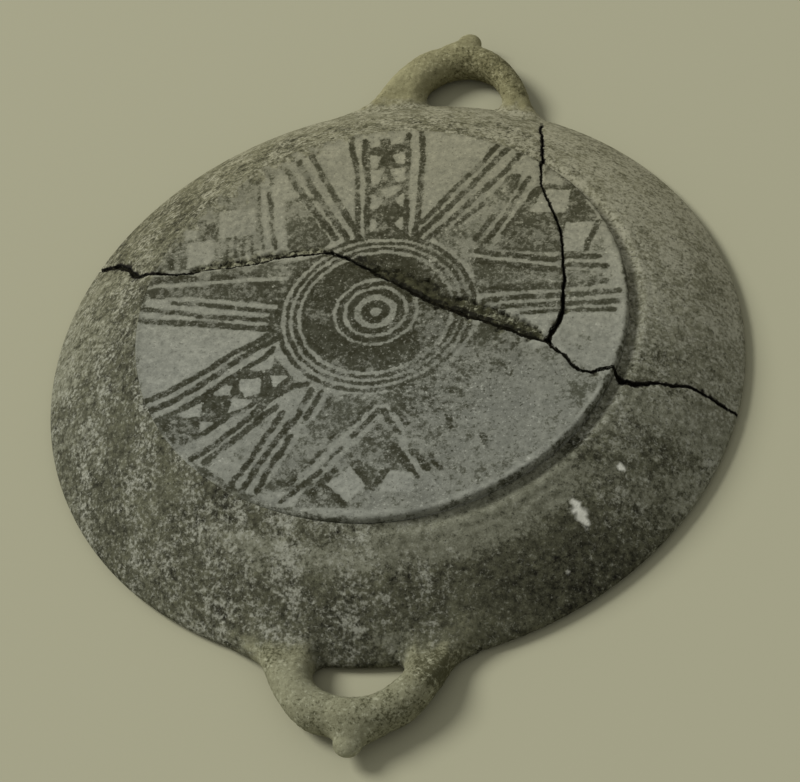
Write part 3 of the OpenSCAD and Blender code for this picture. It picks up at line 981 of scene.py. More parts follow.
def breakDirtGroup():
    # dark mask from the dirt and painted shade values: dirt with painted shade at the breaks, chips and
    # scars, and painted shade in the groove and seam round the foot and beside the rim at the lower right
    tree, takes, gives = newGroup(
        "breakDirt", [("Dirt", "NodeSocketFloat", 0.0)], [("Mask", "NodeSocketFloat")])
    coords = put(tree, "ShaderNodeTexCoord", (-8, 2))
    crumb = noiseAt(tree, (-6, 2), coords, 420.0, 5.0, 0.7)
    rough = mathNode(tree, (-4, 2), "MULTIPLY_ADD", crumb.outputs["Fac"], 1.8, -0.9)
    total = mathNode(tree, (-2, 1), "ADD", takes.outputs["Dirt"], rough)
    mask = stepNode(tree, (0, 1), total, 0.3, 0.75)
    tree.links.new(mask, gives.inputs["Mask"])
    return tree


def warmTintGroup():
    # the pot is a cooler grey at the lower handle and a warmer one at the upper handle
    tree, takes, gives = newGroup(
        "warmTint",
        [("Color", "NodeSocketColor", (0.5, 0.5, 0.5, 1.0)), ("From", "NodeSocketFloat", -0.06),
         ("To", "NodeSocketFloat", 0.1), ("Least", "NodeSocketFloat", 0.0)],
        [("Color", "NodeSocketColor")],
    )
    coords = put(tree, "ShaderNodeTexCoord", (-6, 2))
    split = put(tree, "ShaderNodeSeparateXYZ", (-4, 2))
    tree.links.new(coords.outputs["Object"], split.inputs[0])
    warm = stepNode(tree, (-2, 2), split.outputs["Y"], takes.outputs["From"], takes.outputs["To"])
    warm = mathNode(tree, (-1, 2), "MAXIMUM", warm, takes.outputs["Least"])
    tint = mixNode(tree, (0, 2), warm, (0.97, 1.0, 1.0, 1.0), (1.0, 0.97, 0.8, 1.0))
    tinted = mixNode(tree, (2, 1), 1.0, takes.outputs["Color"], tint, "MULTIPLY")
    tree.links.new(tinted, gives.inputs["Color"])
    return tree


flakedPaint = flakedPaintGroup()
paleCrust = paleCrustGroup()
clayGrain = clayGrainGroup()
breakDirtEffect = breakDirtGroup()
warmTint = warmTintGroup()
print("shared effects made")


def newMaterial(name):
    material = bpy.data.materials.new(name)
    material.use_nodes = True
    tree = material.node_tree
    tree.nodes.clear()
    shader = put(tree, "ShaderNodeBsdfPrincipled", (8, 0))
    output = put(tree, "ShaderNodeOutputMaterial", (10, 0))
    tree.links.new(shader.outputs[0], output.inputs[0])
    return material, tree, shader


def place(tree, group, spot, **values):
    node = put(tree, "ShaderNodeGroup", spot)
    node.node_tree = group
    for key, value in values.items():
        if isinstance(value, bpy.types.NodeSocket):
            tree.links.new(value, node.inputs[key])
        else:
            node.inputs[key].default_value = value
    return node


def attribute(tree, spot, name):
    return put(tree, "ShaderNodeAttribute", spot, attribute_name=name).outputs["Fac"]


def finishShader(tree, shader, finish, colour, height=None):
    tree.links.new(colour, shader.inputs["Base Color"])
    shader.inputs["Roughness"].default_value = finish["roughness"]
    shader.inputs["Specular IOR Level"].default_value = finish["gloss"]
    if height is not None:
        bump = put(tree, "ShaderNodeBump", (6, 4), Strength=finish["bump"], Distance=finish["grainDepth"])
        tree.links.new(height, bump.inputs["Height"])
        tree.links.new(bump.outputs["Normal"], shader.inputs["Normal"])


def speckled(tree, spot, grain, colour, light, dark, share):
    # tiny light and dark grains on top of a colour
    lightShare = mathNode(tree, spot, "MULTIPLY", grain.outputs["Light"], share)
    lightShare = mathNode(tree, (spot[0], spot[1] - 1), "MULTIPLY", lightShare, 0.6)
    darkShare = mathNode(tree, (spot[0], spot[1] + 1), "MULTIPLY", grain.outputs["Dark"], share)
    colour = mixNode(tree, (spot[0] + 1, spot[1]), lightShare, colour, light)
    return mixNode(tree, (spot[0] + 2, spot[1]), darkShare, colour, dark)


wallFinish = {
    "paintDark": tone(20, 19, 11), "paintLight": tone(102, 101, 81), "bareGrey": tone(88, 87, 69),
    # the dirt colour also paints shade: at the breaks, in the groove and seam round the foot and beside the
    # rim at the lower right
    "barePale": tone(150, 149, 132), "crust": tone(151, 150, 137), "chip": tone(216, 214, 202),
    "dirt": tone(26, 24, 18), "flake": 500.0, "stain": 0.3, "speck": 620.0, "soft": 0.09, "speckle": 0.75,
    "warm": {"From": -0.1, "To": 0.12, "Least": 0.16},
    "roughness": 0.84, "gloss": 0.12, "bump": 0.5, "grainDepth": 0.0004,
}


def wallSkinGroup():
    # worn dark paint with crust, shared by the wall, the foot's edge and the roots of the handles
    tree, takes, gives = newGroup(
        "wallSkin",
        [("Cover", "NodeSocketFloat", 1.0), ("Wear", "NodeSocketFloat", 0.3),
         ("Crust", "NodeSocketFloat", 0.3)],
        [("Color", "NodeSocketColor"), ("Height", "NodeSocketFloat")],
    )
    grain = place(tree, clayGrain, (-4, 0))
    paint = place(tree, flakedPaint, (-4, 2), Cover=takes.outputs["Cover"], Wear=takes.outputs["Wear"],
                  Flake=wallFinish["flake"], Stain=wallFinish["stain"])
    crust = place(tree, paleCrust, (-4, 4), Amount=takes.outputs["Crust"], Speck=wallFinish["speck"],
                  Soft=wallFinish["soft"])
    dark = mixNode(tree, (-2, 0), grain.outputs["Tone"], wallFinish["paintDark"], wallFinish["paintLight"])
    bare = mixNode(tree, (-2, 1), grain.outputs["Tone"], wallFinish["bareGrey"], wallFinish["barePale"])
    painted = mixNode(tree, (-1, 1), paint.outputs["Mask"], bare, dark)
    crusted = mixNode(tree, (0, 2), crust.outputs["Mask"], painted, wallFinish["crust"])
    grained = speckled(tree, (1, 4), grain, crusted, wallFinish["crust"], wallFinish["paintDark"],
                       wallFinish["speckle"])
    tree.links.new(grained, gives.inputs["Color"])
    tree.links.new(grain.outputs["Height"], gives.inputs["Height"])
    return tree


wallSkin = wallSkinGroup()


footFinish = {
    "slipPale": tone(152, 151, 138), "slipGrey": tone(111, 111, 101), "wornGrey": tone(106, 106, 98),
    "paint": tone(45, 44, 29), "paintThin": tone(86, 86, 73), "crust": tone(167, 166, 153),
    # the scars' darkest rubble colour is the clay's dark core with painted shade of the hollow
    "scarCoreAndShade": tone(20, 19, 8), "scarPale": tone(80, 79, 57), "scarCrumb": tone(138, 137, 118),
    # the dirt colour also paints shade at the breaks, in the chips and along the scars' rims
    "dirt": tone(22, 21, 10), "flake": 470.0, "stain": 0.4, "crustAmount": 0.12, "speck": 700.0,
    "crumbSpeck": 520.0, "edge": {"Cover": 0.97, "Wear": 0.55, "Crust": 0.34},
    "roughness": 0.86, "gloss": 0.12, "bump": 0.35, "grainDepth": 0.0003,
}


def footMaterial():
    material, tree, shader = newMaterial("painted_foot")
    wear = attribute(tree, (-8, 3), "wear")
    cover = attribute(tree, (-8, 2), "paint")
    grain = place(tree, clayGrain, (-6, 0))
    paint = place(tree, flakedPaint, (-6, 2), Cover=cover, Wear=wear, Flake=footFinish["flake"],
                  Stain=footFinish["stain"])
    crust = place(tree, paleCrust, (-6, 4), Amount=footFinish["crustAmount"], Speck=footFinish["speck"])
    dirt = place(tree, breakDirtEffect, (-6, 6), Dirt=attribute(tree, (-8, 6), "dirt"))
    slip = mixNode(tree, (-4, 0), grain.outputs["Tone"], footFinish["slipGrey"], footFinish["slipPale"])
    worn = stepNode(tree, (-4, 3), wear, 0.3, 1.1)
    slip = mixNode(tree, (-3, 0), worn, slip, footFinish["wornGrey"])
    # thin paint is paler, and no stroke is even
    thick = stepNode(tree, (-5, 1), cover, 0.5, 1.05)
    uneven = mathNode(tree, (-4, 1), "MULTIPLY_ADD", grain.outputs["Tone"], -0.9, 1.3)
    thick = mathNode(tree, (-3, 1), "MULTIPLY", thick, uneven, clamp=True)
    ink = mixNode(tree, (-2, 0), thick, footFinish["paintThin"], footFinish["paint"])
    painted = mixNode(tree, (-1, 1), paint.outputs["Mask"], slip, ink)
    crusted = mixNode(tree, (0, 2), crust.outputs["Mask"], painted, footFinish["crust"])
    grit = mathNode(tree, (-2, 4), "MULTIPLY_ADD", worn, 1.6, 0.5)
    grit = mathNode(tree, (-1, 4), "ADD", grit, attribute(tree, (-3, 5), "grit"))
    grained = speckled(tree, (1, 4), grain, crusted, footFinish["crust"], footFinish["paint"], grit)
    crumbs = place(tree, paleCrust, (0, 7), Amount=attribute(tree, (-2, 7), "crumb"),
                   Speck=footFinish["crumbSpeck"])
    # the flaked scars show dark rubble, the clay's core with painted shade of the hollow, and pale crumbs
    rubbleAndShade = mixNode(tree, (1, 8), grain.outputs["Tone"], footFinish["scarCoreAndShade"], footFinish["scarPale"])
    rubbleAndShade = mixNode(tree, (2, 7), crumbs.outputs["Mask"], rubbleAndShade, footFinish["scarCrumb"])
    scarred = mixNode(tree, (4, 5), attribute(tree, (2, 8), "scar"), grained, rubbleAndShade)
    # dirt with painted shade at the breaks, the chips and the scars
    dirty = mixNode(tree, (5, 3), dirt.outputs["Mask"], scarred, footFinish["dirt"])
    # the wall's worn skin runs on over the edge where the foot melts into it
    skin = place(tree, wallSkin, (4, 8), **footFinish["edge"])
    edged = mixNode(tree, (6, 3), attribute(tree, (4, 7), "edge"), dirty, skin.outputs["Color"])
    tinted = place(tree, warmTint, (7, 3), Color=edged)
    finishShader(tree, shader, footFinish, tinted.outputs["Color"], grain.outputs["Height"])
    return material


def wallSkinOn(tree):
    return place(tree, wallSkin, (-4, 2), Cover=attribute(tree, (-8, 2), "paint"),
                 Wear=attribute(tree, (-8, 3), "wear"), Crust=attribute(tree, (-8, 4), "crust"))


def wallMaterial():
    material, tree, shader = newMaterial("painted_wall")
    skin = wallSkinOn(tree)
    # dirt with painted shade at the breaks, and painted shade in the groove and seam round the foot and
    # beside the rim at the lower right
    dirt = place(tree, breakDirtEffect, (-4, 6), Dirt=attribute(tree, (-6, 6), "dirt"))
    chip = attribute(tree, (0, 6), "chip")
    chipped = mixNode(tree, (2, 5), chip, skin.outputs["Color"], wallFinish["chip"])
    dirty = mixNode(tree, (4, 3), dirt.outputs["Mask"], chipped, wallFinish["dirt"])
    tinted = place(tree, warmTint, (5, 3), Color=dirty, **wallFinish["warm"])
    finishShader(tree, shader, wallFinish, tinted.outputs["Color"], skin.outputs["Height"])
    return material


handleFinish = {
    "clayGrey": tone(120, 117, 93), "clayPale": tone(153, 151, 124), "dark": tone(73, 71, 50),
    "crust": tone(159, 157, 133), "wear": 0.3, "crustAmount": 0.24, "flake": 760.0, "stain": 0.45,
    "speck": 520.0, "speckle": 0.5, "warm": {"From": -0.25, "To": 0.15},
    "roughness": 0.86, "gloss": 0.12, "bump": 0.5, "grainDepth": 0.0004,
}


def handleMaterial():
    material, tree, shader = newMaterial("handle_clay")
    grain = place(tree, clayGrain, (-6, 0))
    stain = place(tree, flakedPaint, (-6, 6), Cover=attribute(tree, (-8, 6), "stain"),
                  Wear=handleFinish["wear"], Flake=handleFinish["flake"], Stain=handleFinish["stain"])
    crust = place(tree, paleCrust, (-6, 8), Amount=handleFinish["crustAmount"], Speck=handleFinish["speck"])
    clay = mixNode(tree, (-4, 0), grain.outputs["Tone"], handleFinish["clayGrey"], handleFinish["clayPale"])
    stained = mixNode(tree, (-2, 1), stain.outputs["Mask"], clay, handleFinish["dark"])
    crusted = mixNode(tree, (0, 2), crust.outputs["Mask"], stained, handleFinish["crust"])
    grained = speckled(tree, (1, 4), grain, crusted, handleFinish["crust"], handleFinish["dark"],
                       handleFinish["speckle"])
    # the wall's paint runs on over the roots
    skin = wallSkinOn(tree)
    rooted = mixNode(tree, (5, 2), attribute(tree, (3, 3), "root"), grained, skin.outputs["Color"])
    tinted = place(tree, warmTint, (6, 2), Color=rooted, **handleFinish["warm"])
    finishShader(tree, shader, handleFinish, tinted.outputs["Color"], grain.outputs["Height"])
    return material


joinFinish = {
    "dark": tone(13, 12, 5), "crumb": tone(38, 36, 23), "crumbAmount": 0.3, "speck": 900.0,
    "roughness": 0.95, "gloss": 0.05, "bump": 0.6, "grainDepth": 0.0005,
}


def joinMaterial():
    material, tree, shader = newMaterial("adhesive")
    crust = place(tree, paleCrust, (-4, 2), Amount=joinFinish["crumbAmount"], Speck=joinFinish["speck"])
    grain = place(tree, clayGrain, (-4, 4))
    colour = mixNode(tree, (0, 1), crust.outputs["Mask"], joinFinish["dark"], joinFinish["crumb"])
    finishShader(tree, shader, joinFinish, colour, grain.outputs["Height"])
    return material


footClay = footMaterial()
wallClay = wallMaterial()
handleClay = handleMaterial()
joinGlue = joinMaterial()
print("materials made")


# Foot sherds

footMesh = {
    "pitch": 0.8, "gridR": 100.7, "underPitch": 6.0, "seed": 41,
    "edgeRings": [101.0, 101.7, 102.3, 102.8, 103.2, 103.5, 103.75],
}

# pale crumbs in the scars: everywhere, more at the right and more at the left
scarCrumbs = {"even": 0.12, "right": 0.22, "left": 0.36}
footGrit = (28, -40, 24, 0.8)  # a gritty place: centre, reach and amount
# the scars' dark rubble includes painted shade of the hollow
chipScar = 0.8  # how much of the scars' dark rubble shows in a chip


def footSherd(sherd):
    pitch, seed = footMesh["pitch"], footMesh["seed"]
    loop = sherdLoop(sherd, footR, pitch)
    top = np.concatenate([
        gridPoints(footMesh["gridR"], pitch, seed),
        ringPoints(footMesh["edgeRings"], pitch, seed + 1),
    ])
    under = gridPoints(footR, footMesh["underPitch"], seed + 2)
    spots, faces = slab(loop, top, under, footTopAt, lambda x, y: np.full_like(x, seatZ), seed + 3)
    # the foot's rim wanders a little from a true circle
    r = np.hypot(spots[:, 0], spots[:, 1])
    turn = np.arctan2(spots[:, 1], spots[:, 0])
    wander = smooth(0.5 + ripple(20 * np.cos(turn), 20 * np.sin(turn), 16, seed + 4))
    wander *= footShape["wobble"] * grooveShare(spots[:, 0], spots[:, 1])
    spots[:, :2] *= (1 - smooth((r - 92) / 12) * wander / footR)[:, None]
    piece = newPiece("foot_" + sherd, spots, faces, ["foot_" + sherd], footClay)
    weld(piece)
    x, y = cornersOf(piece)
    scar = np.maximum(flakeScar(x, y), chipScar * smooth(1.3 * chipLoss(x, y)))
    crumb = scarCrumbs["even"] + scarCrumbs["right"] * smooth((x - 26) / 12)
    crumb += scarCrumbs["left"] * smooth((-20 - x) / 10)
    grit = footGrit[3] * spotShare(x, y, *footGrit[:3])
    addValues(piece, paint=footPaint(x, y), wear=footWear(x, y), dirt=footDirt(x, y), scar=scar, crumb=crumb,
              grit=grit, edge=footEdge(x, y))
    return piece


def cornersOf(piece):
    corners = np.zeros(len(piece.data.vertices) * 3, np.float32)
    piece.data.vertices.foreach_get("co", corners)
    corners = corners.reshape(-1, 3).astype(float) / mm
    return corners[:, 0], corners[:, 1]


sherds = ["lower", "upper_left", "right"]
for sherd in sherds:
    made = footSherd(sherd)
    print(f"{made.name}: {len(made.data.polygons)} faces")


# Wall sherds

wallMesh = {
    "pitch": 1.25, "hiddenR": 97, "hiddenPitch": 5.0, "ringsFrom": 99, "seed": 51,
    "lipRings": [149.2, 149.5, 149.75, 149.92],
    "underR": 143, "underPitch": 3.2, "underLipPitch": 2.0,
    "underLip": [149.9, 149.6, 149.0, 148.3, 147.0, 145.3, 144.3],
}

# paint round the wall: turn in degrees, how much is gone, how much pale crust lies on it, and how much
# more or less is gone beside the rim and beside the foot
wallRounds = [
    (-180, 0.5, 0.28, 0.16, -0.14), (-150, 0.28, 0.26, 0.05, -0.1), (-128, 0.22, 0.3, 0.0, 0.0),
    # at the lower right (-55) next to no paint is gone and little crust lies, so the wall is darkest there:
    # worn paint with painted shade
    (-104, 0.24, 0.34, 0.1, 0.4), (-83, 0.08, 0.27, 0.2, 0.6), (-55, 0.0, 0.05, -0.16, 0.85),
    (-34, 0.36, 0.24, 0.05, 0.1), (0, 0.75, 0.4, 0.3, -0.15), (33, 0.92, 0.58, 0.1, -0.14),
    (70, 0.84, 0.45, 0.14, -0.42), (105, 0.72, 0.38, 0.05, -0.22), (150, 0.36, 0.28, 0.0, 0.0),
    (180, 0.5, 0.28, 0.16, -0.14),
]

# pale chips: place, reach across and along a line through it, and the line's turn
wallChips = [(91, -88, 2.2, 5.0, 125), (105.5, -67, 1.2, 1.8, 60), (87, -109.5, 0.6, 0.8, 0)]


def wallRound(x, y, column):
    turns, *values = np.array(wallRounds, float).T
    return np.interp(turnOf(x, y), turns, values[column])


wallPaintwork = {
    "cover": 0.97, "paleEnd": 104.6, "pale": 0.6,
    "middle": 130, "ease": 14, "cloud": 0.12, "patch": 0.1, "streak": 0.08, "most": 0.95,
    # paint kept close under the foot at the lower left
    "keptTurn": -108, "keptSpread": 22, "kept": 0.5, "keptEnd": 116,
}


def wallPaint(x, y):
    # the dark paint stops at the foot, where pale slip runs on to the wall at the left
    ragged = 1.1 * ripple(x, y, 6, 93) + 0.6 * ripple(x, y, 2.6, 97)
    pale = smooth((wallPaintwork["paleEnd"] + ragged - np.hypot(x, y)) / 1.4)
    return wallPaintwork["cover"] * (1 - wallPaintwork["pale"] * pale * (1 - grooveShare(x, y)))


def wallWear(x, y):
    r = np.hypot(x, y)
    turn = turnOf(x, y)
    streak = ripple(r, 34 * np.radians(turn), 6, 94) * smooth((turn + 20) / 40)
    wear = wallRound(x, y, 0) + wallPaintwork["cloud"] * ripple(x, y, 26, 91)
    wear += wallPaintwork["patch"] * ripple(x, y, 9, 98) + wallPaintwork["streak"] * streak
    outward = (r - wallPaintwork["middle"]) / wallPaintwork["ease"]
    wear += wallRound(x, y, 2) * smooth(outward) + wallRound(x, y, 3) * smooth(-outward)
    kept = bell(turn, wallPaintwork["keptTurn"], wallPaintwork["keptSpread"])
    wear -= wallPaintwork["kept"] * kept * smooth((wallPaintwork["keptEnd"] - r) / 7)
    return np.clip(wear, 0, wallPaintwork["most"])


# painted shade on the wall: darker in the groove round the foot, along the seam at the foot's edge and beside
# the rim at the lower right
wallPaintedShade = {
    "grooveShade": 0.24, "grooveEnd": 110,
    "seamR": 104.4, "seamW": 0.7, "seamShade": 0.3, "seamCloud": 0.25, "seamLost": 0.8,
    "shade": 0.4, "shadeTurn": -50, "shadeSpread": 16, "shadeFrom": 124,
}


def wallDirt(x, y):
    # dirt with painted shade at the breaks, and painted shade in the groove round the foot, along the seam at
    # the foot's edge and beside the rim at the lower right
    r = np.hypot(x, y)
    grooveShade = wallPaintedShade["grooveShade"] * grooveShare(x, y) * smooth((wallPaintedShade["grooveEnd"] - r) / 4)
    seamShade = wallPaintedShade["seamShade"] + wallPaintedShade["seamCloud"] * ripple(x, y, 11, 96)
    seamShade *= bell(r, wallPaintedShade["seamR"], wallPaintedShade["seamW"])
    seamShade *= 1 - wallPaintedShade["seamLost"] * smooth((y - 20) / 40)
    shade = wallPaintedShade["shade"] * bell(turnOf(x, y), wallPaintedShade["shadeTurn"], wallPaintedShade["shadeSpread"])
    shade *= smooth((r - wallPaintedShade["shadeFrom"]) / 12)
    return np.maximum(np.maximum(breakDirt(x, y), shade), np.maximum(grooveShade, seamShade))


def wallCrust(x, y):
    return np.clip(wallRound(x, y, 1) + 0.1 * ripple(x, y, 22, 92) + 0.07 * ripple(x, y, 8, 99), 0, 1)


def wallChip(x, y):
    chip = np.zeros_like(x)
    for cx, cy, across, along, turn in wallChips:
        u, v = turnedFrame(x, y, cx, cy, turn)
        away = np.hypot(u / along, v / across) + 0.3 * ripple(x, y, 3, 95)
        chip = np.maximum(chip, smooth((1.15 - away) / 0.3))
    return chip


def wallSherd(sherd):
    pitch, seed = wallMesh["pitch"], wallMesh["seed"]
    loop = sherdLoop(sherd, rimR, pitch)
    radii = np.arange(wallMesh["ringsFrom"], wallShape["lipStart"] - 0.5, pitch * 0.8)
    top = np.concatenate([
        gridPoints(wallMesh["hiddenR"], wallMesh["hiddenPitch"], seed),
        ringPoints(radii, pitch, seed + 1),
        ringPoints(wallMesh["lipRings"], pitch, seed + 2),
    ])
    under = np.concatenate([
        gridPoints(wallMesh["underR"], wallMesh["underPitch"], seed + 3),
        ringPoints(wallMesh["underLip"], wallMesh["underLipPitch"], seed + 4),
    ])
    spots, faces = slab(loop, top, under, wallTopZ, lambda x, y: wallInnerZ(np.hypot(x, y)), seed + 5)
    piece = newPiece("wall_" + sherd, spots, faces, ["wall_" + sherd], wallClay)
    weld(piece)
    x, y = cornersOf(piece)
    addValues(piece, paint=wallPaint(x, y), chip=wallChip(x, y), wear=wallWear(x, y), crust=wallCrust(x, y),
              dirt=wallDirt(x, y))
    return piece


for sherd in sherds:
    made = wallSherd(sherd)
    print(f"{made.name}: {len(made.data.polygons)} faces")


# Handles, with the clay that lutes their legs to the wall

tubeR = (handleHigh.z - handleLow.z) / 2 / mm
loopX = (handleHigh.x + handleLow.x) / 2 / mm
loopR = (handleHigh.x - handleLow.x) / 2 / mm - tubeR
loopZ = (handleHigh.z + handleLow.z) / 2 / mm
loopY = handleHigh.y / mm - loopR - tubeR
print(f"handles: loop {loopR:.1f}, tube {tubeR:.1f}, centre {loopX:.1f}, {loopY:.1f}, {loopZ:.1f} mm")

# Outlines in plan, measured across and outward from the loop's centre; the legs run on into the wall
handleShape = {
    # half thickness at the root and at the crown, and where each starts
    "thick": (4.6, 7.9), "thickOver": (-10, 14),
    "melt": 8.0, "sink": 0.35, "uneven": 0.3, "grit": 0.12, "step": 0.75, "seed": 101,
    "upper": [
        (-58, -17), (-47, -8), (-38, 2.5), (-30, 18), (-20, 28.5), (-9, 32.8), (0, 33.5), (9, 32.6),
        (16, 29.5), (24, 21.5), (31.5, 10), (36.5, -3), (39, -12), (38, -22), (23, -22), (23, -2),
        (20, 6.5), (14, 14), (4, 18), (-5, 16.5), (-12, 11), (-16, 2), (-17.5, -6), (-19, -22), (-44, -22),
    ],
    "lower": [
        (-58, -13), (-50, -5), (-44, -0.5), (-38.5, 5.5), (-33, 16.5), (-22, 29.5), (-11, 33.5), (0, 33.8),
        (10, 32.5), (23, 26), (32, 12.5), (35.5, 1), (39, -6.5), (44, -14), (49, -21), (44, -24), (18, -22),
        (18, 3), (15.5, 9), (9, 15.5), (0, 18), (-9, 17), (-16.5, 12.5), (-19, 5), (-19, -22), (-44, -22),
    ],
}

# base: across, outward, up and radius; lean: the tip's place across
nippleShape = {
    "base": {"upper": (0.5, 29.5, 0.8, 10.7), "lower": (1.2, 29.5, 0.8, 12.4)},
    "lean": {"upper": 2.0, "lower": 0.5}, "tipR": 5.8, "tipZ": 0.8, "flatten": 1.42, "inner": 22.0,
    "melt": 4.0, "sink": 0.3, "step": 0.6,
}


def eased(loop):
    # corners cut twice, so that a few points make a flowing outline
    loop = np.array(loop, float)
    for _ in range(2):
        after = np.roll(loop, -1, axis=0)
        loop = np.stack([0.75 * loop + 0.25 * after, 0.25 * loop + 0.75 * after], axis=1).reshape(-1, 2)
    return [tuple(p) for p in loop]


def softUnion(first, second, melt):
    share = np.clip(0.5 + 0.5 * (second - first) / melt, 0, 1)
    return second * (1 - share) + first * share - melt * share * (1 - share)


def coneField(u, v, w, start, end):
    # distance to a round-ended rod whose radius changes along its run
    du, dv, dw, grow = np.subtract(end, start)
    fu, fv, fw = u - start[0], v - start[1], w - start[2]
    along = np.clip((fu * du + fv * dv + fw * dw) / (du * du + dv * dv + dw * dw), 0, 1)
    away = (fu - along * du) ** 2 + (fv - along * dv) ** 2 + (fw - along * dw) ** 2
    return np.sqrt(away) - start[3] - along * grow


def loopField(spots, name, side):
    # clay of round section within the handle's outline, thinner towards the wall
    x, y, z = spots
    flat = np.ndim(x) == 3
    u = (x[:, :, 0] if flat else x) - loopX
    v = side * (y[:, :, 0] if flat else y) - loopY
    depth = insideDepth(u, v, eased(handleShape[name]))
    root, crown = handleShape["thick"]
    first, last = handleShape["thickOver"]
    half = root + (crown - root) * smooth((v - first) / (last - first))
    if flat:
        depth, half = depth[:, :, None], half[:, :, None]
    field = np.hypot(np.maximum(half - depth, 0), z - half - 0.2) - half
    dent = ripple(x + z, y - z, 17, handleShape["seed"] + side)
    grit = ripple(x + 0.7 * z, y + 0.6 * z, 3.4, handleShape["seed"] + 5)
    return field + handleShape["uneven"] * (0.5 - 0.5 * dent) + handleShape["grit"] * grit


def wallField(spots, radius):
    r = np.hypot(spots[0], spots[1])
    arc = np.hypot(r - wallShape["arcR"], spots[2] - wallShape["arcZ"]) - radius
    lip = np.hypot(r - wallShape["lipR"], spots[2] - wallShape["lipZ"]) - wallShape["lipRound"]
    return np.where(r < wallShape["lipStart"], arc, lip)


def handleField(spots, name, side):
    # the legs melt into the wall; what is hidden stops inside the wall's thickness
    clay = loopField(spots, name, side)
    r = np.hypot(spots[0], spots[1])
    flat = (spots[0].ravel(), spots[1].ravel())
    lowered = (wallOuterZ(r) - np.reshape(wallBodyZ(*flat), r.shape)) * smooth((rimR - r) / 4)
    wall = wallField(spots, wallShape["outer"]) + lowered + handleShape["sink"]
    melted = softUnion(clay, wall, handleShape["melt"])
    melted = np.maximum(melted, clay - handleShape["melt"])
    middle = (wallShape["outer"] + wallShape["inner"]) / 2
    return np.maximum(np.maximum(melted, -wallField(spots, middle)), 0.2 - spots[2])


def nippleField(spots, name, side):
    u = spots[0] - loopX
    v = side * spots[1] - loopY
    w = (spots[2] - loopZ) * nippleShape["flatten"]
    tipR = nippleShape["tipR"]
    tip = (nippleShape["lean"][name], tipY - loopY - tipR, nippleShape["tipZ"], tipR)
    clay = np.maximum(coneField(u, v, w, nippleShape["base"][name], tip), nippleShape["inner"] - v)
    loop = loopField(spots, name, side) + nippleShape["sink"]
    melted = softUnion(clay, loop, nippleShape["melt"])
    melted = np.maximum(melted, clay - nippleShape["melt"])
    return np.maximum(melted, 0.2 - spots[2])


def skinOf(field, low, high, step):
    # faces where a field changes sign, one corner in each cell that the skin crosses
    axes = [np.arange(a, b + step, step) for a, b in zip(low, high)]
    spots = np.meshgrid(*axes, indexing="ij")
    values = field(spots)
    inside = values < 0
    cells = tuple(n - 1 for n in values.shape)
    total = np.zeros(cells + (3,))
    hits = np.zeros(cells)
    pick = [slice(0, -1), slice(1, None)]
    for axis in range(3):
        for one in (0, 1):
            for two in (0, 1):
                corner = [one, two]
                corner.insert(axis, 0)
                start = tuple(pick[c] for c in corner)
                corner[axis] = 1
                end = tuple(pick[c] for c in corner)
                crossed = inside[start] != inside[end]
                gap = np.where(crossed, values[start] - values[end], 1)
                corner[axis] = np.where(crossed, values[start] / gap, 0)
                for k in range(3):
                    total[..., k] += crossed * corner[k]
                hits += crossed
    used = hits > 0
    number = np.full(cells, -1)
    number[used] = np.arange(used.sum())
    corners = np.argwhere(used) + total[used] / hits[used][:, None]
    corners = np.array(low) + corners * step
    faces = []
    for axis in range(3):
        one, two = [k for k in range(3) if k != axis]
        start = [slice(1, -1)] * 3
        end = [slice(1, -1)] * 3
        start[axis] = slice(0, -1)
        end[axis] = slice(1, None)
        crossed = inside[tuple(start)] != inside[tuple(end)]
        rising = inside[tuple(start)]
        ring = []
        for back in ((1, 1), (0, 1), (0, 0), (1, 0)):
            spot = [slice(None)] * 3
            for k, b in zip((one, two), back):
                spot[k] = slice(0, -1) if b else slice(1, None)
            ring.append(number[tuple(spot)][crossed])
        quads = np.stack(ring, axis=1)
        turned = rising[crossed] == (axis == 1)
        quads[turned] = quads[turned][:, ::-1]
        faces += quads.tolist()
    return settled(field, corners, step), faces


def settled(field, corners, step):
    # moves the corners onto the field's zero
    probe = step * 0.3
    for _ in range(2):
        here = field(corners.T)
        slope = np.stack([field((corners + probe * d).T) - here for d in np.eye(3)], axis=1) / probe
        move = -here[:, None] * slope / np.maximum((slope ** 2).sum(axis=1), 0.3)[:, None]
        corners = corners + np.clip(move, -step, step)
    return corners


handleReach = {"across": 66.0, "inward": -34.0, "outward": 36.0, "under": -0.5, "top": 30.0}


def spanOf(side, inward, outward):
    ends = sorted((side * (loopY + inward), side * (loopY + outward)))
    across = handleReach["across"]
    low = (loopX - across, ends[0], handleReach["under"])
    high = (loopX + across, ends[1], handleReach["top"])
    return low, high


def handlePiece(name, side):
    low, high = spanOf(side, handleReach["inward"], handleReach["outward"])
    spots, faces = skinOf(lambda p: handleField(p, name, side), low, high, handleShape["step"])
    handle, collar = "handle_" + name, "collar_" + name
    replaced = [handle, collar + "_left", collar + "_right"]
    piece = newPiece(handle, spots, faces, replaced, handleClay, 60)
    handleValues(piece, spots, name, side)
    return piece


def nipplePiece(name, side):
    low, high = spanOf(side, nippleShape["inner"] - nippleShape["melt"] - 1, tipY - loopY + 1)
    spots, faces = skinOf(lambda p: nippleField(p, name, side), low, high, nippleShape["step"])
    spots[:, 1] = np.clip(spots[:, 1], -tipY, tipY)
    nipple = "nipple_" + name
    piece = newPiece(nipple, spots, faces, [nipple], handleClay, 60)
    handleValues(piece, spots, name, side)
    return piece


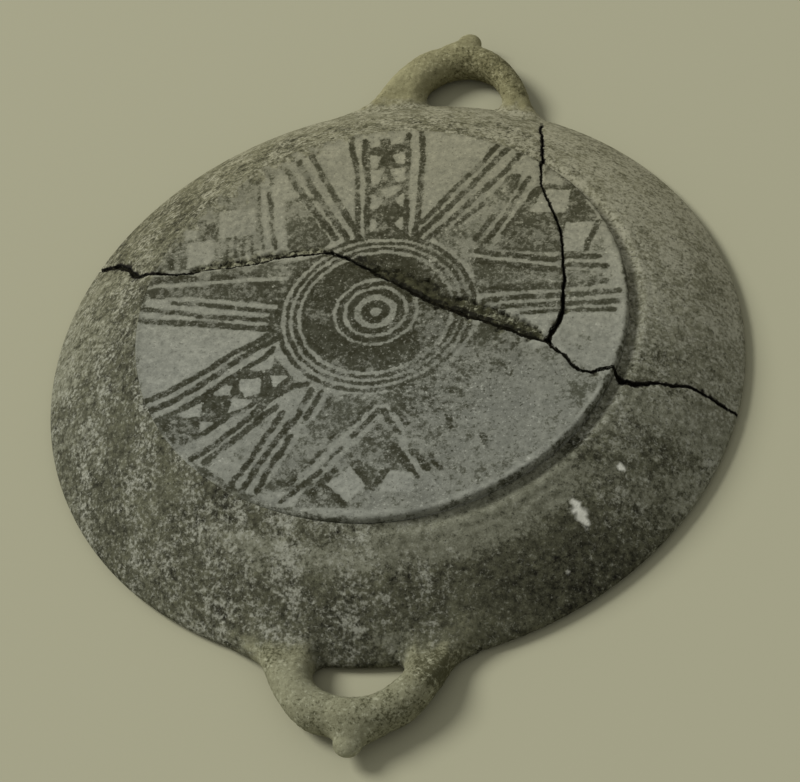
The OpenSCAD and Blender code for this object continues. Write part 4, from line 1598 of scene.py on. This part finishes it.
# stain all over a handle, and its stained places: across, outward, reach and strength
evenStain = 0.44
handleStains = {
    "upper": [(6, 20, 11, 0.3), (22, 16, 10, 0.3), (32, 4, 8, 0.25), (-12, 20, 9, 0.1), (-34, -5, 8, 0.1),
              (-25, 6, 9, -0.3), (30, -7, 6, -0.3)],
    "lower": [(-16, 29, 8, 0.24), (18, 26, 12, 0.3), (32, 4, 12, 0.32), (4, 22, 8, 0.1), (-34, 4, 9, 0.12),
              (0, 30, 12, 0.1), (46, -6, 10, 0.4), (22, -3, 8, 0.2), (-34, -6, 12, 0.3), (32, 6, 8, 0.24),
              (0, 44, 7, -0.3)],
}


def handleStain(spots, name, side):
    u = spots[:, 0] - loopX
    v = side * spots[:, 1] - loopY
    stain = np.full(len(spots), evenStain)
    for su, sv, reach, strength in handleStains[name]:
        stain += strength * spotShare(u, v, su, sv, reach)
    return np.clip(stain, 0, 1)


def handleValues(piece, spots, name, side):
    x, y = spots[:, 0], spots[:, 1]
    away = wallField(spots.T, wallShape["outer"]) + 1.5 * ripple(x, y + spots[:, 2], 7, 141)
    addValues(piece, root=smooth((6.5 - away) / 6), stain=handleStain(spots, name, side),
              paint=wallPaint(x, y), wear=wallWear(x, y), crust=wallCrust(x, y))


for name, side in (("upper", 1), ("lower", -1)):
    made = handlePiece(name, side)
    tip = nipplePiece(name, side)
    print(f"{made.name}: {len(made.data.polygons)} faces, {tip.name}: {len(tip.data.polygons)} faces")


# Adhesive in the breaks

joinShape = {"recess": 2.2, "lump": 0.5, "sag": 0.25, "across": 5, "under": 0.6, "least": 0.3, "end": 0.6}


def joinPiece(name, line):
    line = line[np.hypot(line[:, 0], line[:, 1]) < rimR - joinShape["end"]]
    ahead = np.gradient(line[:, :2], axis=0)
    ahead /= np.hypot(*ahead.T)[:, None]
    leftward = np.column_stack([-ahead[:, 1], ahead[:, 0]])
    r = np.hypot(line[:, 0], line[:, 1])
    run = np.arange(len(line)) * breaks["step"]
    surface = np.where(r < footR, footTopZ, wallOuterZ(r))
    topZ = surface - joinShape["recess"] + joinShape["lump"] * rippleAlong(run, 4, 131)
    underZ = wallInnerZ(r) + joinShape["under"]
    topZ = np.maximum(topZ, underZ + joinShape["least"])
    shares = np.linspace(-1, 1, joinShape["across"])
    rows = [(share, topZ - joinShape["sag"] * (1 - share ** 2)) for share in shares]
    rows += [(share, underZ) for share in (1, -1)]
    loops = []
    for share, height in rows:
        offset = line[:, :2] + leftward * (line[:, 2] / 2 * share)[:, None]
        loops.append(np.column_stack([offset, height]))
    count = len(loops)
    spots = np.stack(loops, axis=1).reshape(-1, 3)
    faces = []
    for i in range(len(line) - 1):
        for k in range(count):
            a = i * count + k
            b = i * count + (k + 1) % count
            faces.append([a, a + count, b + count, b])
    faces.append(list(range(count)))
    faces.append([(len(line) - 1) * count + k for k in range(count)][::-1])
    return newPiece(name, spots, faces, [name], joinGlue, 60)


joinPiece("join_main", mainLine)
joinPiece("join_side", sideLine[:-3])
print("joins made")


# Floor, light and camera

stage = {
    "floor": tone(164, 162, 136), "floorDark": tone(162, 160, 134), "cloud": 3.0, "size": 8.0,
    "roughness": 0.9, "gloss": 0.1,
    "keyTurn": 160, "keyTilt": 42, "keyAway": 12.0, "keySize": 5.2, "keyPower": 1340.0,
    "fill": 0.4, "fillColour": (1.0, 1.0, 0.98),
}


def floorMaterial():
    material, tree, shader = newMaterial("floor_paper")
    coords = put(tree, "ShaderNodeTexCoord", (-6, 1))
    cloud = noiseAt(tree, (-4, 1), coords, stage["cloud"], 3.0, 0.5)
    colour = mixNode(tree, (0, 1), cloud.outputs["Fac"], stage["floorDark"], stage["floor"])
    finishShader(tree, shader, stage, colour)
    return material


half = stage["size"] / 2
floorMesh = bpy.data.meshes.new("floor")
floorSpots = [(-half, -half, 0), (half, -half, 0), (half, half, 0), (-half, half, 0)]
floorMesh.from_pydata(floorSpots, [], [[0, 1, 2, 3]])
floorMesh.materials.append(floorMaterial())
floor = bpy.data.objects.new("floor", floorMesh)
bpy.context.scene.collection.objects.link(floor)


def lampAt(name, turn, tilt, away, size, power):
    lamp = bpy.data.lights.new(name, "AREA")
    lamp.shape = "DISK"
    lamp.size = size
    lamp.energy = power
    holder = bpy.data.objects.new(name, lamp)
    turn, tilt = math.radians(turn), math.radians(tilt)
    aim = Vector((math.cos(turn) * math.cos(tilt), math.sin(turn) * math.cos(tilt), math.sin(tilt)))
    holder.location = aim * away
    holder.rotation_mode = "QUATERNION"
    holder.rotation_quaternion = aim.to_track_quat("Z", "Y")
    bpy.context.scene.collection.objects.link(holder)


lampAt("key", stage["keyTurn"], stage["keyTilt"], stage["keyAway"], stage["keySize"], stage["keyPower"])

world = bpy.data.worlds.new("studio")
world.use_nodes = True
background = world.node_tree.nodes["Background"]
background.inputs["Color"].default_value = stage["fillColour"] + (1.0,)
background.inputs["Strength"].default_value = stage["fill"]
bpy.context.scene.world = world

view = {
    "gaze": (10.2, -28.1, 20.0), "away": 925.4, "turn": 19.14, "tilt": 51.76, "roll": 14.07,
    "lens": 100.5, "sensor": 36.0, "near": 0.05,
}


def makeCamera():
    lens = bpy.data.cameras.new("camera")
    lens.lens = view["lens"]
    lens.sensor_width = view["sensor"]
    lens.clip_start = view["near"]
    camera = bpy.data.objects.new("camera", lens)
    turn, tilt, roll = (math.radians(view[k]) for k in ("turn", "tilt", "roll"))
    back = Vector((math.sin(turn) * math.cos(tilt), -math.cos(turn) * math.cos(tilt), math.sin(tilt)))
    level = Vector((math.cos(turn), math.sin(turn), 0))
    upright = back.cross(level)
    right = level * math.cos(roll) - upright * math.sin(roll)
    up = upright * math.cos(roll) + level * math.sin(roll)
    camera.matrix_world = Matrix.Translation((Vector(view["gaze"]) + back * view["away"]) * mm) @ Matrix(
        (right, up, back)).transposed().to_4x4()
    bpy.context.scene.collection.objects.link(camera)
    bpy.context.scene.camera = camera


makeCamera()
bpy.context.scene.view_settings.view_transform = "Standard"
print("floor, light and camera made")
